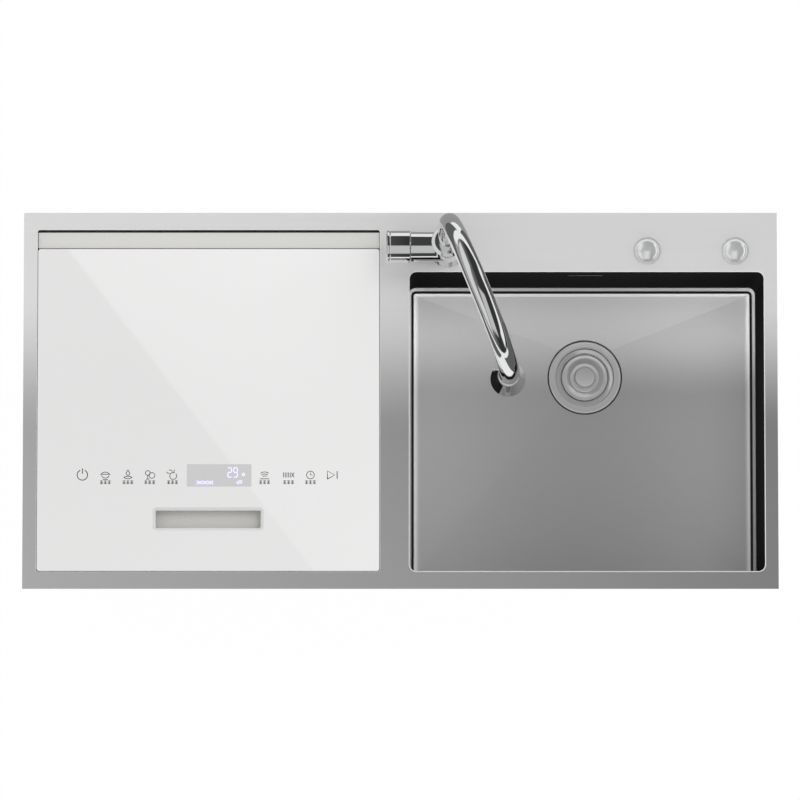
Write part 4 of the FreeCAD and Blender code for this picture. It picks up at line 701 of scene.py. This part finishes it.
def sign(name, strokes, x, y, material, width):
    """One printed sign: its strokes, in millimetres, round the place (x, y) on the glass."""
    points, faces = [], []
    for stroke in strokes:
        corners, stroke_faces = ribbon(stroke, width)
        start = len(points)
        points += [(x + corner.x * MM, y + corner.y * MM, INK_HEIGHT) for corner in corners]
        faces += [tuple(start + i for i in face) for face in stroke_faces]
    return add_piece(name, points, faces, material, "lid", smooth=False, closed=False)


# %% [markdown]
# ## The touch row
# Nine generic signs stand in a row on both sides of the display: on and off, four washing programs, and
# after the display waves, drying, a timer and start. Below most of them is a short row of marks. Their
# places are given along the lid, from its middle, in millimetres.

# %% Print the signs
ink = plastic("printed_ink", (0.02, 0.02, 0.022), 0.5)
lid_middle = glass.middle.x
row = Edges("display_window").middle.y

SIGNS = {
    "power": (-149.9, [arc(0, 0, 6.2, 115, 425), [(0, 1.5), (0, 8)]]),
    "pot": (-122.5, [arc(0, -0.5, 5.2, 20, 160, 0.75), [(-6, 0.8), (6, 0.8)], arc(0, 0.5, 4.6, 195, 345, 0.9),
                     [(-3, -5.3), (3, -5.3)]]),
    "drop": (-95.6, [[(0, 6), (-1.9, 2.8)], arc(0, 1.8, 2.1, 150, 390), [(0, 6), (1.9, 2.8)],
                     arc(0, -2.0, 5.0, 190, 350, 0.5), arc(0, -3.2, 5.0, 20, 160, 0.3)]),
    "cups": (-69.6, [arc(-2.4, 2.4, 2.8, 0, 360), arc(2.6, -0.6, 3.4, 0, 360), [(-2.4, -0.6), (-2.4, -5)],
                     [(-4.4, -5), (-0.4, -5)]]),
    "fruit": (-42.5, [arc(0.8, -1.2, 4.1, 60, 400), [(0.8, 2.6), (2.6, 6.4)], arc(-3.2, 3.0, 3.0, 20, 110),
                      arc(-4.4, 5.0, 3.0, 200, 290)]),
    "waves": (67.2, [arc(0, -4, 7.6, 50, 130), arc(0, -4, 5.2, 45, 135), arc(0, -4, 2.9, 40, 140),
                     [(-5.5, -4.6), (5.5, -4.6)]]),
    "drying": (95.8, [[(x, -3), (x, 3)] for x in (-6.0, -4.0, -2.0, 0.0, 2.0)] + [[(3.4, -2.8), (6.6, 2.8)],
                                                                        [(3.4, 2.8), (6.6, -2.8)]]),
    "timer": (121.8, [arc(0, 0, 4.6, 0, 360), [(0, 2.9), (0, 0), (2.2, 0)]]),
    "start": (147.6, [[(-5.6, -4.9), (-5.6, 4.9), (3.0, 0), (-5.6, -4.9)], [(6.0, -4.6), (6.0, 4.6)]]),
}
LABELLED = ("pot", "drop", "cups", "fruit", "waves", "drying", "timer")
WIDE = ("power", "start")

for name, (offset, strokes) in SIGNS.items():
    sign("sign_" + name, strokes, lid_middle + offset * MM, row + 0.5 * MM, ink, 1.0 if name in WIDE else 0.8)
    if name in LABELLED:
        marks = [[(x - 1.7, y), (x + 1.7, y)] for x in (-4.6, 0.0, 4.6) for y in (-7.0, -8.7, -10.4)]
        marks += [[(x, -6.6), (x, -10.8)] for x in (-4.6, 0.0, 4.6)]
        sign("marks_" + name, marks, lid_middle + offset * MM, row + 0.5 * MM, ink, 0.7)
print("signs", len(SIGNS))


# %% [markdown]
# ## The display
# Behind the glass is a small grey window with two lit figures. They are seven-segment figures: each of the
# seven bars is one short stroke, and a number is only a choice of bars.

# %% Light the figures
def glow_finish():
    finish = Finish("display_glow", (0.62, 0.60, 0.95), rough=0.4)
    finish.shader.inputs["Emission Color"].default_value = (0.66, 0.64, 1.0, 1)
    finish.shader.inputs["Emission Strength"].default_value = 0.35
    return finish.material


glow = glow_finish()
BARS = {"top": [(-2, 5.6), (2, 5.6)], "middle": [(-2, 0), (2, 0)], "bottom": [(-2, -5.6), (2, -5.6)],
        "upper left": [(-2.2, 0.6), (-2.2, 5)], "upper right": [(2.2, 0.6), (2.2, 5)],
        "lower left": [(-2.2, -5), (-2.2, -0.6)], "lower right": [(2.2, -5), (2.2, -0.6)]}
FIGURES = {"2": ("top", "upper right", "middle", "lower left", "bottom"),
           "9": ("top", "upper left", "upper right", "middle", "lower right", "bottom")}

window = Edges("display_window")
cover_points = [(x, y, INK_HEIGHT - 0.02 * MM) for x, y in (
    (window.left, window.front), (window.right, window.front), (window.right, window.back),
    (window.left, window.back))]
add_piece("display_field", cover_points, [(0, 1, 2, 3)], display_grey, "lid", smooth=False,
          closed=False)
for place, figure in ((12.6, "2"), (19.6, "9")):
    bars = [BARS[bar] for bar in FIGURES[figure]]
    sign("figure_" + figure, bars, window.middle.x + place * MM, window.middle.y + 3.6 * MM, glow, 1.4)
small = [[(-9, 0.9), (9, 0.9)], [(-9, -0.9), (9, -0.9)], [(-9, -2.4), (-9, 2.4)], [(-3, -2.4), (-3, 2.4)],
         [(3, -2.4), (3, 2.4)], [(9, -2.4), (9, 2.4)]]
sign("figure_marks", small, window.middle.x - 17 * MM, window.middle.y - 8.5 * MM, glow, 1.4)
sign("figure_dots", [arc(0, 0, 1.4, 0, 360), arc(-3.6, -8.6, 1.6, 0, 360), arc(-6.6, -9.6, 1.2, 0, 360)],
     window.middle.x + 29 * MM, window.middle.y + 1.0 * MM, glow, 1.3)
print("display", round(window.width * 1000, 1), "by", round(window.depth * 1000, 1))


# %% [markdown]
# ## Polished edges round the openings
# Where the deck turns down into the bowl and round the lid, the pressed edge is polished and catches a
# bright line. A thin bead laid into each opening does that: a small round section swept along a rectangle
# with rounded corners.

# %% Sweep a bead round an opening
def rounded_loop(left, right, front, back, corner, steps=8):
    points = []
    for x, y, start in ((right - corner, back - corner, 0), (left + corner, back - corner, 90),
                        (left + corner, front + corner, 180), (right - corner, front + corner, 270)):
        for i in range(steps + 1):
            turn = math.radians(start + 90 * i / steps)
            points.append(Vector((x + corner * math.cos(turn), y + corner * math.sin(turn), 0)))
    return points


def bead(name, path, height, size, material, body, sides=10):
    """A round section of that radius along a closed level path."""
    points, faces, count = [], [], len(path)
    for i, spot in enumerate(path):
        along = (path[(i + 1) % count] - path[i - 1]).normalized()
        across = Vector((along.y, -along.x, 0))
        for side in range(sides):
            turn = 2 * math.pi * side / sides
            rise = Vector((0, 0, height + size * math.sin(turn)))
            points.append(spot + across * size * math.cos(turn) + rise)
    for i in range(count):
        j = (i + 1) % count
        for side in range(sides):
            other = (side + 1) % sides
            faces.append((i * sides + side, i * sides + other, j * sides + other, j * sides + side))
    return add_piece(name, points, faces, material, body)


LAID_IN = 1 * MM
EDGE = 1.1 * MM


def opening_loop(edges, corner):
    """The outline a little inside the box, with rounded corners."""
    return rounded_loop(edges.left + LAID_IN, edges.right - LAID_IN, edges.front + LAID_IN,
                        edges.back - LAID_IN, corner)


bowl_loop = opening_loop(bowl, 9 * MM)
bead("bowl_edge", bowl_loop, deck.top - EDGE, EDGE, bright_edge, "base")
bay_loop = opening_loop(tub, 3 * MM)
bead("bay_edge", bay_loop, deck.top - EDGE, EDGE * 0.6, bright_edge, "base")
print("edges", len(bowl_loop), len(bay_loop), "points")


# %% [markdown]
# ## The dish rack
# A rack is bent from round wire and coated. The solid has square wires, so each is made again as a curve
# with a round bevel: the curve follows the wire's own line, with soft bends at the corners.

# %% Bend the wires
rack = Edges("rack_sides")
tines = Edges("rack_tines")
feet = Edges("rack_feet")
WIRE = 1.8 * MM
BEND = 12 * MM


def wire(name, points, cyclic=False):
    curve = bpy.data.curves.new(name, "CURVE")
    curve.dimensions = "3D"
    curve.bevel_depth = WIRE
    curve.bevel_resolution = 3
    spline = curve.splines.new("POLY")
    spline.points.add(len(points) - 1)
    for spot, point in zip(spline.points, points):
        spot.co = (*point, 1)
    spline.use_cyclic_u = cyclic
    piece = bpy.data.objects.new(name, curve)
    bpy.context.scene.collection.objects.link(piece)
    return piece


def bent(low, high, floor, top):
    """A wire's line across the rack: down one side, round a bend, over the floor and up again."""
    points = [(low, top)]
    for x, start in ((low + BEND, 180), (high - BEND, 270)):
        for i in range(7):
            turn = math.radians(start + 15 * i)
            points.append((x + BEND * math.cos(turn), floor + BEND + BEND * math.sin(turn)))
    return points + [(high, top)]


floor_wire = Edges("rack_base").under + WIRE
rim_wire = rack.top - WIRE
inset = 24 * MM
row_step = (rack.depth - 2 * inset) / 5
column_step = (rack.width - 2 * inset) / 6
wires = []
for i in range(6):
    y = rack.front + inset + i * row_step
    line = [(x, y, z) for x, z in bent(rack.left + WIRE, rack.right - WIRE, floor_wire, rim_wire)]
    wires.append(wire(f"wire_across_{i}", line))
for i in range(7):
    x = rack.left + inset + i * column_step
    line = [(x, y, z) for y, z in bent(rack.front + WIRE, rack.back - WIRE, floor_wire + 3.2 * MM, rim_wire)]
    wires.append(wire(f"wire_along_{i}", line))
loop = rounded_loop(rack.left + WIRE, rack.right - WIRE, rack.front + WIRE, rack.back - WIRE, BEND)
wires.append(wire("wire_rim", [(point.x, point.y, rim_wire) for point in loop], cyclic=True))
for row_number in (2, 4):
    y = rack.front + inset + row_number * row_step
    for i in range(12):
        x = rack.left + inset + (2 * i + 1) * column_step / 4
        wires.append(wire(f"tine_{row_number}_{i}", [(x, y, floor_wire), (x, y, tines.top)]))
for x in (feet.left + WIRE, feet.right - WIRE):
    for y in (feet.front + WIRE, feet.back - WIRE):
        wires.append(wire(f"foot_{len(wires)}", [(x, y, floor_wire), (x, y, feet.under)]))
for piece in wires:
    paint(piece, coated_wire)
    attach(piece, "rack")
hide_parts("rack_base", "rack_sides", "rack_tines", "rack_feet")
print("wires", len(wires))


# %% [markdown]
# ## Floor and background
# The photograph has a plain white background. The floor under the unit is pale, and a ray from the camera or
# off gloss that meets it sees mostly white, so only a breath of shadow is left. The world does the same for
# whatever looks past the floor.

# %% Lay the floor
def stage_plane(name, points, material, **seen):
    mesh = bpy.data.meshes.new(name)
    mesh.from_pydata(points, [], [tuple(range(len(points)))])
    plane = bpy.data.objects.new(name, mesh)
    bpy.context.scene.collection.objects.link(plane)
    mesh.materials.append(material)
    for word, value in seen.items():
        setattr(plane, "visible_" + word, value)
    return plane


def level_corners(left, right, front, back, height):
    """The four corners of a level rectangle."""
    return [(left, front, height), (right, front, height), (right, back, height), (left, back, height)]


def new_tree(name):
    material = bpy.data.materials.new(name)
    material.use_nodes = True
    nodes, links = material.node_tree.nodes, material.node_tree.links
    nodes.clear()
    return material, nodes, links, nodes.new("ShaderNodeOutputMaterial")


FLOOR_HALF = 12
FLOOR_WHITE_SHARE = 0.985
FLOOR_MATTE = (0.9, 0.9, 0.9, 1)


def floor_material():
    material, nodes, links, output = new_tree("studio_floor")
    paths = nodes.new("ShaderNodeLightPath")
    seen = nodes.new("ShaderNodeMath")
    seen.operation = "MAXIMUM"
    links.new(paths.outputs["Is Camera Ray"], seen.inputs[0])
    links.new(paths.outputs["Is Glossy Ray"], seen.inputs[1])
    share = nodes.new("ShaderNodeMath")
    share.operation = "MULTIPLY"
    share.inputs[1].default_value = FLOOR_WHITE_SHARE
    links.new(seen.outputs[0], share.inputs[0])
    matte = nodes.new("ShaderNodeBsdfDiffuse")
    matte.inputs["Color"].default_value = FLOOR_MATTE
    white = nodes.new("ShaderNodeEmission")
    mix = nodes.new("ShaderNodeMixShader")
    links.new(share.outputs[0], mix.inputs[0])
    links.new(matte.outputs[0], mix.inputs[1])
    links.new(white.outputs[0], mix.inputs[2])
    links.new(mix.outputs[0], output.inputs[0])
    return material


floor_height = cad_low[2] - 0.5 * MM
floor_corners = level_corners(-FLOOR_HALF, FLOOR_HALF, -FLOOR_HALF, FLOOR_HALF, floor_height)
stage_plane("studio_floor", floor_corners, floor_material())
print("floor at", round(floor_height, 4))


# %% [markdown]
# ## The room
# The world lights everything evenly. For the camera, and for rays that come off gloss or through glass, it is
# always plain white, so its light could be made weaker or stronger without greying the background.

# %% Light the world
ROOM_LIGHT = 1.0

world = bpy.data.worlds.new("studio")
bpy.context.scene.world = world
world.use_nodes = True
nodes, links = world.node_tree.nodes, world.node_tree.links
backdrop = nodes["Background"]
backdrop.inputs["Color"].default_value = (1, 1, 1, 1)
paths = nodes.new("ShaderNodeLightPath")
seen = paths.outputs["Is Camera Ray"]
for ray in ("Is Glossy Ray", "Is Transmission Ray"):
    either = nodes.new("ShaderNodeMath")
    either.operation = "MAXIMUM"
    links.new(seen, either.inputs[0])
    links.new(paths.outputs[ray], either.inputs[1])
    seen = either.outputs[0]
level = nodes.new("ShaderNodeMapRange")
level.inputs["To Min"].default_value = ROOM_LIGHT
level.inputs["To Max"].default_value = 1.0
links.new(seen, level.inputs["Value"])
links.new(level.outputs["Result"], backdrop.inputs["Strength"])
print("room light", ROOM_LIGHT)


# %% [markdown]
# ## Shaping what the steel reflects
# Chrome shows the room more than itself, and a white room would leave it nearly white. So it stands in a
# tent: a sphere of dark cloth, seen only by glossy rays, that hides the white room from them. It has a broad
# light opening on the left, a narrow one on the right, one behind and one in front down to the floor, and a
# dimmer one that runs from overhead to the front. They are placed for the bands on the tap, which follow
# those in the photograph only roughly. Cloths on the floor, again for glossy rays alone, darken it at both
# sides and behind. None of it casts light or shadow on matte surfaces. Each opening is a product of soft
# steps along the direction in which it lies.

# %% Put up the tent
TENT_RADIUS = 6.0
ONLY_GLOSSY = {"camera": False, "diffuse": False, "shadow": False, "transmission": False,
               "volume_scatter": False}
# The level, and for each axis where the opening begins and ends and how soft its ends are
OPENINGS = (
    (0.78, (("z", 0.26, 0.84, 0.06), ("x", -1.1, -0.3, 0.15))),
    (1.0, (("z", 0.12, 0.5, 0.06), ("x", 0.6, 1.2, 0.12))),
    (1.0, (("z", -1.1, 0.24, 0.06), ("y", 0.5, 1.2, 0.15))),
    (1.0, (("z", -1.1, 0.1, 0.06), ("y", -1.2, -0.5, 0.15))),
    (0.62, (("y", -0.88, 0.1, 0.1), ("z", 0.45, 2.0, 0.1), ("x", -0.35, 0.35, 0.1))),
)


class Cloth(Tree):
    """A cloth that glows, with a level built from the direction in which it hangs."""

    def __init__(self, name):
        self.material, self.nodes, self.links, self.output = new_tree(name)

    def direction(self):
        """The three parts of the direction from the middle to the spot, by axis."""
        inward = self.add("VectorMath", Vector=self.add("TexCoord").outputs["Object"])
        inward.operation = "NORMALIZE"
        split = self.add("SeparateXYZ", Vector=inward.outputs["Vector"])
        return {axis: split.outputs[axis.upper()] for axis in "xyz"}

    def between(self, value, low, high, soft):
        """1 where the value lies between low and high, 0 outside, with soft ends."""
        above = self.step(value, low, low + soft)
        below = self.math("SUBTRACT", 1.0, self.step(value, high - soft, high))
        return self.math("MULTIPLY", above, below)

    def opening(self, level, bright, shares):
        """The level, blended towards bright where all the shares are 1."""
        share = shares[0]
        for other in shares[1:]:
            share = self.math("MULTIPLY", share, other)
        return self.blend(share, level, bright)

    def shine(self, level):
        lamp = self.add("Emission", Strength=level)
        self.links.new(lamp.outputs[0], self.output.inputs[0])
        return self.material


def tent_material():
    cloth = Cloth("tent")
    direction = cloth.direction()
    level = cloth.line(direction["x"], 0.06, -0.35, 0.04)
    for bright, limits in OPENINGS:
        shares = [cloth.between(direction[axis], *rest) for axis, *rest in limits]
        level = cloth.opening(level, bright, shares)
    return cloth.shine(level)


def tent():
    mesh = bpy.data.meshes.new("tent")
    work = bmesh.new()
    bmesh.ops.create_uvsphere(work, u_segments=48, v_segments=32, radius=TENT_RADIUS)
    work.to_mesh(mesh)
    work.free()
    mesh.materials.append(tent_material())
    dome = bpy.data.objects.new("tent", mesh)
    bpy.context.scene.collection.objects.link(dome)
    for word, value in ONLY_GLOSSY.items():
        setattr(dome, "visible_" + word, value)


tent()
dark = Cloth("dark_cloth")
dark_cloth = dark.shine(dark.line(dark.direction()["x"], 0.13, 0.0))
grey_cloth = Cloth("grey_cloth").shine(0.34)
cloth_height = floor_height + 1 * MM
# The material, then where the cloth ends on the left, right, in front and behind
FLOOR_CLOTHS = {
    "left": (dark_cloth, -5, -0.6, -5, 5),
    "right": (dark_cloth, 0.6, 5, -5, 5),
    "behind": (grey_cloth, -0.6, 0.6, 0.25, 1.5),
}
for place, (material, *edges) in FLOOR_CLOTHS.items():
    stage_plane("cloth_" + place, level_corners(*edges, cloth_height), material, **ONLY_GLOSSY)
print("tent radius", TENT_RADIUS, "openings", len(OPENINGS), "floor cloths", len(FLOOR_CLOTHS))


# %% [markdown]
# ## One lamp
# A broad soft lamp high above, a little to the right and behind, adds a direction to the even light of the
# room. It is hidden from glossy rays, so that no mirror image of it shows in the deck.

# %% Key light
KEY_WIDTH, KEY_DEPTH = 2.4, 1.6
KEY_WATTS = 30
KEY_PLACE = Vector((0.7, 0.9, 3.0))

key = bpy.data.objects.new("key_light", bpy.data.lights.new("key_light", "AREA"))
key.data.shape = "RECTANGLE"
key.data.size = KEY_WIDTH
key.data.size_y = KEY_DEPTH
key.data.energy = KEY_WATTS
key.location = KEY_PLACE
key.rotation_euler = (-KEY_PLACE).to_track_quat("-Z", "Y").to_euler()
bpy.context.scene.collection.objects.link(key)
key.visible_glossy = False
print("key light", key.data.energy, "W")
